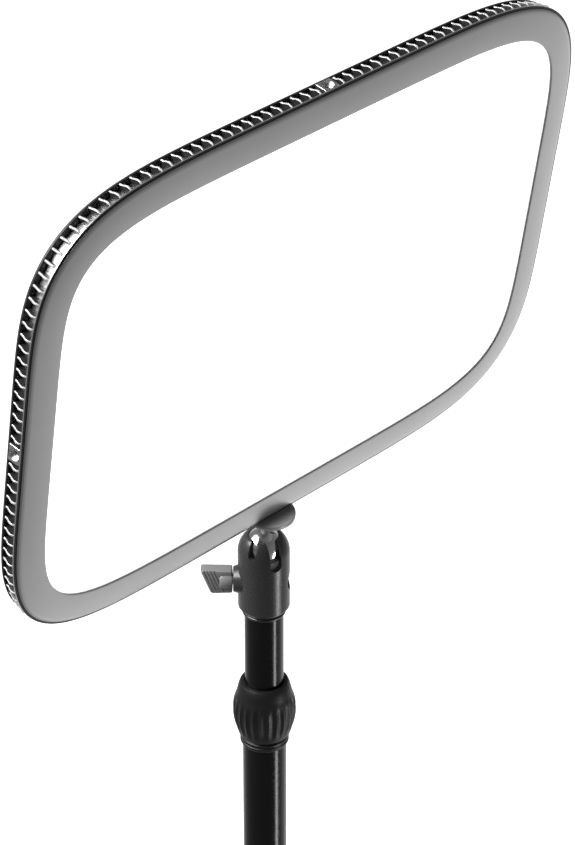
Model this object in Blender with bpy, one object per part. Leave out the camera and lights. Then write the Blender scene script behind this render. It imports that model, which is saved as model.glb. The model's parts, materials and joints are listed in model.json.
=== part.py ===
"""LED panel light with a ball head, on a telescopic pole with a desk clamp.

Metres, +Z up, +X to the right of someone facing the light, the light shines towards -Y.
The origin is on the desk, under the axis of the pole, on the lower face of the clamp's desk pad.
"""
from math import cos, pi, radians, sin, tau

import bmesh
import bpy
import numpy as np
from mathutils import Matrix, Vector

MM = 0.001
GAP = 0.3 * MM                      # clearance between pieces that touch

# Places of the main axes
BALL_HEIGHT = 540 * MM              # centre of the ball above the desk
PANEL_TILT = 8.75                   # degrees that the panel leans forward
STEM_TO_CENTRE = 164 * MM           # from the ball's centre to the panel's centre, along the stem
STEM_DEPTH = 5.5 * MM               # the stem's axis lies this far behind the diffuser's face

# Outline of the light: a superellipse, and everything round it is parallel to it
LIGHT_HALF_WIDTH = 179 * MM
LIGHT_HALF_HEIGHT = 117.6 * MM
OUTLINE_EXPONENT = 6.2
RING_POINTS = 64

# Distances outside the light's outline
SHEET_OVERLAP = 4 * MM              # how far the sheets reach behind the bezel
FRAME_INNER = 9 * MM
FRAME_OUTER = 12 * MM
WEB_INNER = FRAME_OUTER + GAP
WEB_OUTER = 13.3 * MM
FIN_START = 19.3 * MM               # the fins' outer edge bows out between its two ends
FIN_OUTER = 20 * MM
FIN_END = 18.6 * MM
LIP_OUTER = 19.8 * MM               # the frame's front flange
BLOCK_OUTER = 19.4 * MM
BEZEL_WIDTH = 18.2 * MM

# Depths behind the diffuser's face
DIFFUSER_BACK = 2.0 * MM
GUIDE_FRONT = 2.3 * MM
GUIDE_BACK = 5.3 * MM
REFLECTOR_BACK = 6.2 * MM
PAN_BACK = 9.0 * MM
LIP_BACK = 1.3 * MM
VENT_FRONT = LIP_BACK + GAP
FIN_CREST = 4.0 * MM                # where the fins stand out most
VENT_BACK = 9.6 * MM
SHELL_FRONT = VENT_BACK + GAP
SHELL_BACK = 12.6 * MM
POD_FRONT = SHELL_BACK + GAP
POD_BACK = 32 * MM

FIN_PITCH = 6.9 * MM
FIN_THICKNESS = 1.4 * MM
SOCKET_GAP = 8.5 * MM               # half of the space that the fins leave for a socket block
BLOCK_WIDTH = 10 * MM
SOCKET_BORE = 3.4 * MM
THREAD_RADIUS = 3.1 * MM            # the threads that hold the panel and the head

# Control pod
POD_WIDTH = 150 * MM
POD_HEIGHT = 84 * MM
POD_WALL = 2 * MM
POD_DROP = 20 * MM                  # the pod's centre lies this far under the panel's centre
DIAL_RADIUS = 11 * MM
DIAL_HEIGHT = 9 * MM
DIAL_SPACING = 104 * MM
DIAL_TOP_WALL = 2 * MM
SHAFT_RADIUS = 3 * MM
SHAFT_LENGTH = 8 * MM
SLEEVE_RADIUS = SHAFT_RADIUS + 2.5 * MM
ENCODER_RADIUS = 6 * MM
BOARD_FRONT = POD_FRONT + 3 * MM
BOARD_BACK = POD_FRONT + 4.6 * MM
CONTROL_LEVEL = -18 * MM            # height of the button and the rocker above the pod's centre
BUTTON_X = -14 * MM
ROCKER_X = 14 * MM
ROCKER_HOLE = (10 * MM, 7 * MM)     # half width and half height
WINDOW_LOW, WINDOW_HIGH = (-19 * MM, 6 * MM), (19 * MM, 28 * MM)
INLET_X = 40 * MM
INLET_DEPTH = POD_FRONT + 9 * MM

# Ball head
BALL_RADIUS = 11 * MM
CAVITY_RADIUS = BALL_RADIUS + GAP
HEAD_RADIUS = 14.5 * MM
HEAD_BOTTOM = -41.4 * MM
HEAD_TOP = 7.6 * MM
CAVITY_FLOOR = -14 * MM
FOOT_CHAMFER = 3 * MM
FOOT_RADIUS = 11.9 * MM
FOOT_BORE_TOP = -30 * MM
BOSS_REACH = 17 * MM
BOSS_ROOT = 12.4 * MM               # the boss starts inside the barrel
RECESS_RADIUS = 5.6 * MM
RECESS_FLOOR = 12.7 * MM
SCREW_CHANNEL = 3.4 * MM            # radius of the lock screw's bore
WEDGE_BORE = 3 * MM
SEAT_RIM = -5.5 * MM                # upper edge of the ball seat
SLOT_HALF_WIDTH = 3.5 * MM
SLOT_BOTTOM = -5.5 * MM             # centre of the slot's round end
SLOT_TURN = radians(-17)            # which way the slot faces, from -Y
NECK_RADIUS = 2.7 * MM
DISC_BOTTOM = 22.4 * MM
DISC_TOP = 26 * MM
DISC_RADIUS = 15 * MM
KNOB_LEVEL = -22 * MM
KNOB_AZIMUTH = radians(133.7)       # which way the lock knob points, from +X towards +Y
HUB_START = 17.3 * MM
HUB_END = 24.5 * MM
HUB_RADIUS = 5.6 * MM
SCREW_END = 22 * MM
WING_THICKNESS = 7.6 * MM

# Pole, with heights from the ball's centre
UPPER_TUBE_RADIUS = 11 * MM
LOWER_TUBE_RADIUS = 12.5 * MM
TUBE_WALL = 1 * MM
LIP_BOTTOM = -43.6 * MM
COLLAR_TOP = -91 * MM
COLLAR_BOTTOM = -126 * MM
COLLET_TOP = -98 * MM
LOWER_TUBE_TOP = -108.3 * MM
FERRULE_TOP = -127.5 * MM
FERRULE_BOTTOM = -133 * MM
UPPER_TUBE_END = 105 * MM           # height of the upper tube's lower end above the desk
COLLAR_RIBS = 24
RIB_DEPTH = 0.9 * MM
RIBS_TOP = -102 * MM
RIBS_BOTTOM = -122 * MM
BARREL_RADIUS = 16 * MM             # the ribs are where the collar is wider than this
FERRULE_RADIUS = 13.9 * MM
TOP_PLUG_LENGTH = 26 * MM
FOOT_PLUG_LENGTH = 30 * MM
FOOT_PLUG_WALL = 6 * MM
BUSH_LENGTH = 7 * MM

# Desk clamp, with heights from the desk
PAD_THICKNESS = 3 * MM
ARM_BOTTOM = PAD_THICKNESS + GAP
ARM_TOP = ARM_BOTTOM + 12 * MM
ARM_HALF_WIDTH = 24 * MM
ARM_FRONT = -42 * MM
SPINE_FRONT = 24 * MM
SPINE_BACK = 36 * MM
LOWER_ARM_TOP = -83 * MM
LOWER_ARM_BOTTOM = -95 * MM
SCREW_Y = -12 * MM
SCREW_RADIUS = 5 * MM
PRESSURE_TOP = -40 * MM
SCREW_BOTTOM = -150 * MM
SOCKET_TOP = 56 * MM
SOCKET_RADIUS = 17 * MM
FLANGE_RADIUS = 22 * MM
SET_SCREW_DROP = 12 * MM            # from the socket's top to the set screw
SET_SCREW_RADIUS = 2.5 * MM
SET_SCREW_END = 17.6 * MM
BOLT_RADIUS = 4 * MM
BOLT_HEAD_RADIUS = 6.7 * MM
BOLT_HEAD_TOP = ARM_BOTTOM + 5.7 * MM
BOLT_TOP = SOCKET_TOP - 20 * MM
ARM_CORNER = 5 * MM
ARM_ROUNDING = 1.5 * MM
PAD_HALF_WIDTH = 22 * MM
PRESSURE_RADIUS = 17 * MM
PLATE_HUB = 9 * MM
PLATE_DEPTH = 5.5 * MM
KNOB_LOBES = 6
LOBE_DEPTH = 1.4                    # millimetres
KNOB_STEPS = 36
END_CHAMFER = 0.4 * MM

# Outlines in millimetres; the first number is a radius or a sideways distance
BEZEL_FACE = ((17.6, -0.8), (15, -1.6), (10.5, -2.2), (5, -2.4), (1.2, -2.1), (0, -1.2))
SCREW_HEAD = ((0, 0.7), (1.4, 1.7), (2.2, 1.7), (3, 0), (0, 0))
BUTTON = ((0, 3), (4, 3), (4.6, 2.4), (4.6, -2.2), (6.5, -2.4), (6.5, -3.6), (0, -3.6))
ROCKER = ((-9.5, -0.2), (-9.5, 2.2), (-5, 1.4), (0, 1.1), (5, 1.4), (9.5, 2.2), (9.5, -0.2), (4, -5),
          (-4, -5))
ROCKER_WIDTH = 13.2
INLET = ((4, 0), (4, 9), (2.75, 9), (2.75, 1), (2.2, 0))
STEM_FLARE = ((5.6, 19), (3.6, 15))
STEM_TOP_RADIUS = 6.6 * MM
NECK_TOP = 12.4 * MM
DOME = ((9.7, 7.6), (10.9, 6.6), (12.0, 5.3), (13.0, 3.6), (13.9, 1.4), (14.4, -0.8), (14.5, -2.4))
BOSS_RIM, BOSS_FOOT = 6.4 * MM, 8.6 * MM
WEDGE_PIN = ((0, -12.2), (2.6, -12.2), (2.6, -20), (0, -23.6))
WING = ((-7.2, 18), (-7.6, 34.4), (-6.6, 35), (6.8, 29.6), (7.6, 28.4), (7.2, 18))
COLLAR_SIDE = ((13.3, -91), (15.7, -99), (17.4, -104), (18, -110), (17.4, -116), (16.1, -121), (14.8, -126))
CLAMP_KNOB = ((13, 4), (15.5, 0), (17, -3), (17, -14), (15.5, -17), (12, -18))


def clear_scene():
    for item in list(bpy.data.objects):
        bpy.data.objects.remove(item, do_unlink=True)


def material(name, colour, roughness, metallic):
    """A plain Principled material."""
    made = bpy.data.materials.new(name)
    made.use_nodes = True
    shader = made.node_tree.nodes["Principled BSDF"]
    shader.inputs["Base Color"].default_value = (*colour, 1)
    shader.inputs["Roughness"].default_value = roughness
    shader.inputs["Metallic"].default_value = metallic
    return made


BLACK_PAINT = (0.012, 0.012, 0.013)
DARK_GREY = (0.05, 0.05, 0.052)
MID_GREY = (0.16, 0.16, 0.165)
SATIN_GREY = (0.30, 0.30, 0.31)
BRIGHT_METAL = (0.75, 0.75, 0.76)
WHITE = (0.90, 0.90, 0.90)
BOARD_GREEN = (0.03, 0.16, 0.07)
RUBBER = (0.02, 0.02, 0.02)
GLASS_BLACK = (0.005, 0.005, 0.006)

BACKWARD = (-pi / 2, 0, 0)          # turns a piece's own Z to point back


def placed(name, mesh, look, parent=None, location=(0, 0, 0), rotation=(0, 0, 0)):
    """Put a mesh in the scene under its name, with its own material."""
    colour, roughness, metallic = look
    item = bpy.data.objects.new(name, mesh)
    bpy.context.scene.collection.objects.link(item)
    mesh.materials.append(material(name, colour, roughness, metallic))
    mesh.shade_smooth()
    mesh.set_sharp_from_angle(angle=radians(35))
    item.parent = parent
    item.location = location
    item.rotation_euler = rotation
    return item


def pivot(name, parent=None, location=(0, 0, 0), rotation=(0, 0, 0)):
    """An empty on a joint's axis."""
    item = bpy.data.objects.new(name, None)
    bpy.context.scene.collection.objects.link(item)
    item.parent = parent
    item.location = location
    item.rotation_euler = rotation
    return item


def scaled(points):
    """Points given in millimetres, in metres."""
    return [tuple(value * MM for value in point) for point in points]


def finished(bm, name):
    """Close a bmesh into a mesh whose faces point out."""
    bmesh.ops.remove_doubles(bm, verts=bm.verts, dist=1e-6)
    bmesh.ops.recalc_face_normals(bm, faces=bm.faces)
    mesh = bpy.data.meshes.new(name)
    bm.to_mesh(mesh)
    bm.free()
    return mesh


def turned(name, profile, steps=20, closed=False):
    """Spin a profile of (radius, height) points round Z; a closed profile makes a ring."""
    bm = bmesh.new()
    verts = [bm.verts.new((radius, 0, height)) for radius, height in profile]
    ends = verts[1:] + (verts[:1] if closed else [])
    edges = [bm.edges.new(pair) for pair in zip(verts, ends)]
    bmesh.ops.spin(bm, geom=verts + edges, cent=(0, 0, 0), axis=(0, 0, 1), angle=tau,
                   steps=steps, use_merge=True)
    return finished(bm, name)


def tube(name, outer, inner, bottom, top, steps=24):
    profile = [(outer, top), (outer, bottom), (inner, bottom), (inner, top)]
    return turned(name, profile, steps, closed=True)


def rod(name, radius, bottom, top, steps=14, chamfer=0.0):
    profile = [(0, top), (radius - chamfer, top)]
    if chamfer:
        profile.append((radius, top - chamfer))
        profile.append((radius, bottom + chamfer))
    profile += [(radius - chamfer, bottom), (0, bottom)]
    return turned(name, profile, steps)


def block(name, low, high, bevel=0.0):
    """A box between two corners, with round edges where a bevel is given."""
    bm = bmesh.new()
    size = Vector(high) - Vector(low)
    middle = (Vector(high) + Vector(low)) / 2
    bmesh.ops.create_cube(bm, size=1, matrix=Matrix.Translation(middle) @ Matrix.Diagonal((*size, 1)))
    if bevel:
        bmesh.ops.bevel(bm, geom=bm.edges[:], offset=bevel, segments=2, affect='EDGES', profile=0.5)
    return finished(bm, name)


def extruded(name, outline, vector):
    """A flat outline, a list of 3-D points, pushed along a vector."""
    bm = bmesh.new()
    face = bm.faces.new([bm.verts.new(point) for point in outline])
    pushed = bmesh.ops.extrude_face_region(bm, geom=[face])["geom"]
    moved = [item for item in pushed if isinstance(item, bmesh.types.BMVert)]
    bmesh.ops.translate(bm, vec=vector, verts=moved)
    return finished(bm, name)


def cut(item, mesh, operation='DIFFERENCE', parent=None, location=(0, 0, 0), rotation=(0, 0, 0)):
    """Boolean one object with a cutter that stays hidden in the scene."""
    cutter = bpy.data.objects.new(mesh.name, mesh)
    bpy.context.scene.collection.objects.link(cutter)
    cutter.parent = parent or item.parent
    cutter.location = location
    cutter.rotation_euler = rotation
    cutter.hide_render = True
    cutter.display_type = 'WIRE'
    boolean = item.modifiers.new(mesh.name, 'BOOLEAN')
    boolean.operation = operation
    boolean.object = cutter


# ---- the panel's outline ----

def outline_curve():
    """Base points, outward normals and running length of the light's outline, clockwise from the top."""
    power = 2 / OUTLINE_EXPONENT
    turn = np.linspace(0, tau, 8001)
    across = np.sign(np.sin(turn)) * np.abs(np.sin(turn)) ** power * LIGHT_HALF_WIDTH
    upward = np.sign(np.cos(turn)) * np.abs(np.cos(turn)) ** power * LIGHT_HALF_HEIGHT
    base = np.stack([across, upward], axis=1)
    slope = np.sign(base) * np.abs(base) ** (OUTLINE_EXPONENT - 1)
    slope /= np.array([LIGHT_HALF_WIDTH, LIGHT_HALF_HEIGHT]) ** OUTLINE_EXPONENT
    normal = slope / np.linalg.norm(slope, axis=1, keepdims=True)
    rim = base + normal * FIN_OUTER
    steps = np.linalg.norm(np.diff(rim, axis=0), axis=1)
    return base, normal, np.concatenate([[0], np.cumsum(steps)])


BASE, NORMAL, LENGTH = outline_curve()
RIM_LENGTH = LENGTH[-1]


def rim_point(length, offset):
    """The point at a length along the rim, a distance outside the light's outline."""
    along = length % RIM_LENGTH
    base = [np.interp(along, LENGTH, BASE[:, i]) for i in (0, 1)]
    normal = [np.interp(along, LENGTH, NORMAL[:, i]) for i in (0, 1)]
    scale = offset / np.hypot(*normal)
    return base[0] + normal[0] * scale, base[1] + normal[1] * scale


def rim_loop(bm, offset, depth, count=RING_POINTS):
    """A loop of vertices parallel to the outline, in the panel's frame (X right, Y back, Z up)."""
    loop = []
    for i in range(count):
        across, upward = rim_point(RIM_LENGTH * i / count, offset)
        loop.append(bm.verts.new((across, depth, upward)))
    return loop


def bridge(bm, first, second):
    count = len(first)
    for i in range(count):
        j = (i + 1) % count
        bm.faces.new((first[i], first[j], second[j], second[i]))


def ring_shape(name, profile, count=RING_POINTS):
    """Sweep a closed profile of (offset, depth) points round the outline."""
    bm = bmesh.new()
    loops = [rim_loop(bm, offset, depth, count) for offset, depth in profile]
    for first, second in zip(loops, loops[1:] + loops[:1]):
        bridge(bm, first, second)
    return finished(bm, name)


def sheet_shape(name, profile, count=RING_POINTS):
    """A sheet whose edge follows (offset, depth) points, closed by a flat face at each end."""
    bm = bmesh.new()
    loops = [rim_loop(bm, offset, depth, count) for offset, depth in profile]
    for first, second in zip(loops, loops[1:]):
        bridge(bm, first, second)
    bm.faces.new(loops[0])
    bm.faces.new(loops[-1])
    return finished(bm, name)


# ---- panel ----

def front_bezel(panel):
    """A flat ring whose face is highest near the diffuser and falls away to its outer edge."""
    back = [(0, -GAP), (SHEET_OVERLAP + GAP, -GAP), (SHEET_OVERLAP + GAP, 0), (BEZEL_WIDTH, 0)]
    mesh = ring_shape("front_bezel", scaled(BEZEL_FACE) + back)
    placed("front_bezel", mesh, (SATIN_GREY, 0.4, 0.6), panel)


def light_sheets(panel):
    edge = SHEET_OVERLAP
    stack = (("diffuser_sheet", 0, DIFFUSER_BACK, WHITE, 0.5),
             ("light_guide_plate", GUIDE_FRONT, GUIDE_BACK, WHITE, 0.1),
             ("reflector_sheet", GUIDE_BACK + GAP, REFLECTOR_BACK, WHITE, 0.4))
    for name, front, back, colour, roughness in stack:
        offset = edge - 2 * MM if name == "light_guide_plate" else edge
        mesh = sheet_shape(name, [(offset, front), (offset, back)])
        placed(name, mesh, (colour, roughness, 0.0), panel)
    pan = sheet_shape("back_pan", [(8 * MM, REFLECTOR_BACK + GAP), (8 * MM, PAN_BACK)])
    placed("back_pan", pan, (BRIGHT_METAL, 0.4, 0.9), panel)


def led_strips(panel):
    front, back = GUIDE_FRONT + 0.2 * MM, GUIDE_BACK - 0.2 * MM
    near, far = 4.2 * MM, 6.6 * MM
    reach_x, reach_z = 108 * MM, 58 * MM
    for side, sign in (("right", 1), ("left", -1)):
        inner, outer = sorted((sign * (LIGHT_HALF_WIDTH + near), sign * (LIGHT_HALF_WIDTH + far)))
        mesh = block("led_strip_" + side, (inner, front, -reach_z), (outer, back, reach_z))
        placed("led_strip_" + side, mesh, (WHITE, 0.5, 0.0), panel)
    for side, sign in (("top", 1), ("bottom", -1)):
        inner, outer = sorted((sign * (LIGHT_HALF_HEIGHT + near), sign * (LIGHT_HALF_HEIGHT + far)))
        mesh = block("led_strip_" + side, (-reach_x, front, inner), (reach_x, back, outer))
        placed("led_strip_" + side, mesh, (WHITE, 0.5, 0.0), panel)


def light_frame(panel):
    """A metal ring round the sheets, with a flange in front of the fins."""
    profile = [(FRAME_INNER, GAP), (LIP_OUTER, GAP), (LIP_OUTER, LIP_BACK), (FRAME_OUTER, LIP_BACK),
               (FRAME_OUTER, VENT_BACK), (FRAME_INNER, VENT_BACK)]
    placed("light_frame", ring_shape("light_frame", profile), (BRIGHT_METAL, 0.3, 1.0), panel)


def fin_centres():
    """Lengths along the rim at which a fin stands; each quarter starts and ends at a socket."""
    quarter = RIM_LENGTH / 4
    room = quarter - 2 * SOCKET_GAP
    count = round(room / FIN_PITCH)
    centres = []
    for side in range(4):
        for i in range(count + 1):
            centres.append(side * quarter + SOCKET_GAP + room * i / count)
    return centres


def vent_rim(panel):
    """The black comb: a thin wall with fins that stand out from it all round."""
    bm = bmesh.new()
    half = FIN_THICKNESS / 2
    front, crest, back = [], [], []
    for row, depth, reach in ((front, VENT_FRONT, FIN_START), (crest, FIN_CREST, FIN_OUTER),
                              (back, VENT_BACK, FIN_END)):
        for centre in fin_centres():
            spots = ((centre, WEB_INNER), (centre - half, WEB_OUTER), (centre - half, reach),
                     (centre + half, reach), (centre + half, WEB_OUTER))
            row.append([bm.verts.new((x, depth, z)) for x, z in (rim_point(*s) for s in spots)])
    count = len(front)
    for i in range(count):
        j = (i + 1) % count
        for row in (front, back):
            bm.faces.new(row[i])
            bm.faces.new((row[i][0], row[i][4], row[j][1], row[j][0]))
        for near, far in ((front, crest), (crest, back)):
            bm.faces.new((near[i][2], near[i][3], far[i][3], far[i][2]))
        for root, tip in ((1, 2), (4, 3)):
            bm.faces.new((front[i][root], front[i][tip], crest[i][tip], back[i][tip], back[i][root]))
        bm.faces.new((front[i][4], front[j][1], back[j][1], back[i][4]))
        bm.faces.new((front[i][0], front[j][0], back[j][0], back[i][0]))
    unused = [vert for vert in bm.verts if not vert.link_faces]
    bmesh.ops.delete(bm, geom=unused, context='VERTS')
    placed("vent_rim", finished(bm, "vent_rim"), (BLACK_PAINT, 0.4, 0.3), panel)


def socket_blocks(panel):
    """Metal blocks with a threaded hole, in the middle of each side."""
    inner, outer = WEB_OUTER + GAP, BLOCK_OUTER
    sides = (("top", 0, LIGHT_HALF_HEIGHT), ("right", pi / 2, LIGHT_HALF_WIDTH),
             ("bottom", pi, LIGHT_HALF_HEIGHT), ("left", -pi / 2, LIGHT_HALF_WIDTH))
    half = BLOCK_WIDTH / 2
    for side, turn, reach in sides:
        name = "socket_block_" + side
        mesh = block(name, (-half, VENT_FRONT + GAP, reach + inner), (half, VENT_BACK - GAP, reach + outer))
        item = placed(name, mesh, (BRIGHT_METAL, 0.35, 1.0), panel, rotation=(0, turn, 0))
        hole = rod(name + "_hole", SOCKET_BORE, reach + inner + 0.8 * MM, reach + outer + 2 * MM)
        spot = Matrix.Rotation(turn, 3, 'Y') @ Vector((0, STEM_DEPTH, 0))
        cut(item, hole, location=spot, rotation=(0, turn, 0))


def rear_shell(panel):
    edge = FIN_END
    profile = [(edge, SHELL_FRONT), (edge, SHELL_FRONT + 0.9 * MM), (edge - 0.7 * MM, SHELL_BACK - 0.5 * MM),
               (edge - 2 * MM, SHELL_BACK)]
    item = placed("rear_shell", sheet_shape("rear_shell", profile), (BLACK_PAINT, 0.5, 0.2), panel)
    slot = block("wire_slot", (-20 * MM, SHELL_FRONT - MM, -POD_DROP - 5 * MM),
                 (20 * MM, SHELL_BACK + MM, -POD_DROP + 5 * MM))
    cut(item, slot)


def screw_places():
    """Where the rear shell's screws stand: two rows of three."""
    rows = (-LIGHT_HALF_HEIGHT + 6 * MM, LIGHT_HALF_HEIGHT - 6 * MM)
    return [(x, z) for z in rows for x in (-140 * MM, 0, 140 * MM)]


def rear_screws(panel):
    for number, (x, z) in enumerate(screw_places(), 1):
        name = "rear_screw_%d" % number
        mesh = turned(name, scaled(SCREW_HEAD), 12)
        placed(name, mesh, (DARK_GREY, 0.3, 0.8), panel, (x, SHELL_BACK + GAP, z), BACKWARD)


def control_pod(panel):
    """A hollow cover, open towards the rear shell, with holes for what sits in its back wall."""
    half_w, half_h = POD_WIDTH / 2, POD_HEIGHT / 2
    wall_front = POD_BACK - POD_WALL
    pod = pivot("pod_place", panel, (0, 0, -POD_DROP))
    bm = bmesh.new()
    middle = Matrix.Translation((0, (POD_FRONT + POD_BACK) / 2, 0))
    size = Matrix.Diagonal((POD_WIDTH, POD_BACK - POD_FRONT, POD_HEIGHT, 1))
    bmesh.ops.create_cube(bm, size=1, matrix=middle @ size)
    back_edges = [e for e in bm.edges if any(v.co.y > POD_FRONT + MM for v in e.verts)]
    bmesh.ops.bevel(bm, geom=back_edges, offset=4 * MM, segments=3, affect='EDGES', profile=0.5)
    item = placed("control_pod", finished(bm, "control_pod"), (DARK_GREY, 0.5, 0.1), pod)
    room = block("pod_room", (-half_w + POD_WALL, POD_FRONT - MM, -half_h + POD_WALL),
                 (half_w - POD_WALL, wall_front, half_h - POD_WALL))
    cut(item, room)
    through = (wall_front - 2 * MM, POD_BACK + MM)
    cut(item, block("window_hole", (WINDOW_LOW[0], through[0], WINDOW_LOW[1]),
                    (WINDOW_HIGH[0], through[1], WINDOW_HIGH[1])))
    for name, x in (("brightness_hole", -DIAL_SPACING / 2), ("colour_hole", DIAL_SPACING / 2)):
        hole = rod(name, SHAFT_RADIUS + 0.5 * MM, -MM, 4 * MM)
        cut(item, hole, location=(x, wall_front, 0), rotation=BACKWARD)
    cut(item, rod("button_hole", 5 * MM, -MM, 4 * MM, 20), location=(BUTTON_X, wall_front, CONTROL_LEVEL),
        rotation=BACKWARD)
    half_x, half_z = ROCKER_HOLE
    cut(item, block("rocker_hole", (ROCKER_X - half_x, through[0], CONTROL_LEVEL - half_z),
                    (ROCKER_X + half_x, through[1], CONTROL_LEVEL + half_z)))
    inlet = rod("inlet_hole", 4.3 * MM, -4 * MM, 4 * MM, 16)
    cut(item, inlet, location=(INLET_X, INLET_DEPTH, -half_h + POD_WALL / 2))
    return pod


def pod_contents(pod):
    half_w, half_h = POD_WIDTH / 2, POD_HEIGHT / 2
    board = block("driver_board", (-half_w + 5 * MM, BOARD_FRONT, -half_h + 16 * MM),
                  (half_w - 5 * MM, BOARD_BACK, half_h - 6 * MM))
    placed("driver_board", board, (BOARD_GREEN, 0.5, 0.0), pod)
    window = block("display_window", (WINDOW_LOW[0] + GAP, POD_BACK - 1.6 * MM, WINDOW_LOW[1] + GAP),
                   (WINDOW_HIGH[0] - GAP, POD_BACK - 0.2 * MM, WINDOW_HIGH[1] - GAP))
    placed("display_window", window, (GLASS_BLACK, 0.08, 0.0), pod)
    base = POD_BACK - POD_WALL - GAP - (BOARD_BACK + GAP)
    encoder = [(0, base + SHAFT_LENGTH), (SHAFT_RADIUS, base + SHAFT_LENGTH), (SHAFT_RADIUS, base),
               (ENCODER_RADIUS, base), (ENCODER_RADIUS, 0), (0, 0)]
    for name, x in (("brightness_encoder", -DIAL_SPACING / 2), ("colour_encoder", DIAL_SPACING / 2)):
        item = turned(name, encoder, 14)
        placed(name, item, (BRIGHT_METAL, 0.4, 0.9), pod, (x, BOARD_BACK + GAP, 0), BACKWARD)
    inlet = turned("dc_inlet", scaled(INLET), 16, closed=True)
    placed("dc_inlet", inlet, (BLACK_PAINT, 0.4, 0.2), pod, (INLET_X, INLET_DEPTH, -half_h - 0.5 * MM))


def dial_shape(name):
    """A cap with a sleeve inside, over the encoder's shaft."""
    wall = DIAL_RADIUS - 2 * MM
    ceiling = DIAL_HEIGHT - DIAL_TOP_WALL
    sleeve_end = 0.5 * MM
    profile = [(0, DIAL_HEIGHT), (DIAL_RADIUS - MM, DIAL_HEIGHT), (DIAL_RADIUS, DIAL_HEIGHT - MM),
               (DIAL_RADIUS, 0), (wall, 0), (wall, ceiling), (SLEEVE_RADIUS, ceiling),
               (SLEEVE_RADIUS, sleeve_end),
               (SHAFT_RADIUS + GAP, sleeve_end), (SHAFT_RADIUS + GAP, ceiling), (0, ceiling)]
    return turned(name, profile, 24)


def controls(pod):
    outside = POD_BACK + GAP
    for name, x in (("brightness_dial", -DIAL_SPACING / 2), ("colour_dial", DIAL_SPACING / 2)):
        axis = pivot(name + "_axis", pod, (x, outside, 0), BACKWARD)
        item = placed(name, dial_shape(name), (DARK_GREY, 0.45, 0.2), axis)
        groove = block(name + "_groove", (DIAL_RADIUS - 5 * MM, -0.6 * MM, DIAL_HEIGHT - 0.8 * MM),
                       (DIAL_RADIUS + MM, 0.6 * MM, DIAL_HEIGHT + MM))
        cut(item, groove, parent=axis)
    button = turned("mode_button", scaled(BUTTON), 20)
    placed("mode_button", button, (MID_GREY, 0.4, 0.1), pod, (BUTTON_X, POD_BACK, CONTROL_LEVEL), BACKWARD)
    outline = scaled((x, y, -ROCKER_WIDTH / 2) for x, y in ROCKER)
    axis = pivot("rocker_axis", pod, (ROCKER_X, POD_BACK, CONTROL_LEVEL))
    rocker = extruded("power_rocker", outline, (0, 0, ROCKER_WIDTH * MM))
    placed("power_rocker", rocker, (BLACK_PAINT, 0.35, 0.1), axis)


# ---- ball head ----

def ball_stud(tilt):
    ball_edge = np.arcsin(NECK_RADIUS / BALL_RADIUS)
    arc = [(BALL_RADIUS * sin(a), BALL_RADIUS * cos(a)) for a in np.linspace(ball_edge, pi, 10)]
    arc[-1] = (0, -BALL_RADIUS)
    top = DISC_BOTTOM - GAP
    profile = [(0, top), (STEM_TOP_RADIUS, top)] + scaled(STEM_FLARE) + [(NECK_RADIUS, NECK_TOP)] + arc
    placed("ball_stud", turned("ball_stud", profile), (BRIGHT_METAL, 0.15, 1.0), tilt)


def platform(tilt):
    bore = THREAD_RADIUS + GAP
    profile = [(DISC_RADIUS, DISC_TOP - 1 * MM), (DISC_RADIUS, DISC_BOTTOM + 1.2 * MM),
               (DISC_RADIUS - 1.4 * MM, DISC_BOTTOM), (bore, DISC_BOTTOM), (bore, DISC_TOP),
               (DISC_RADIUS - 1 * MM, DISC_TOP)]
    disc = turned("platform_disc", profile, 28, closed=True)
    placed("platform_disc", disc, (DARK_GREY, 0.35, 0.6), tilt)
    rim_bottom = STEM_TO_CENTRE - LIGHT_HALF_HEIGHT - FIN_OUTER
    stud = rod("panel_stud", THREAD_RADIUS, DISC_BOTTOM, rim_bottom + 4 * MM, chamfer=END_CHAMFER)
    placed("panel_stud", stud, (BRIGHT_METAL, 0.3, 1.0), tilt)


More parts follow.
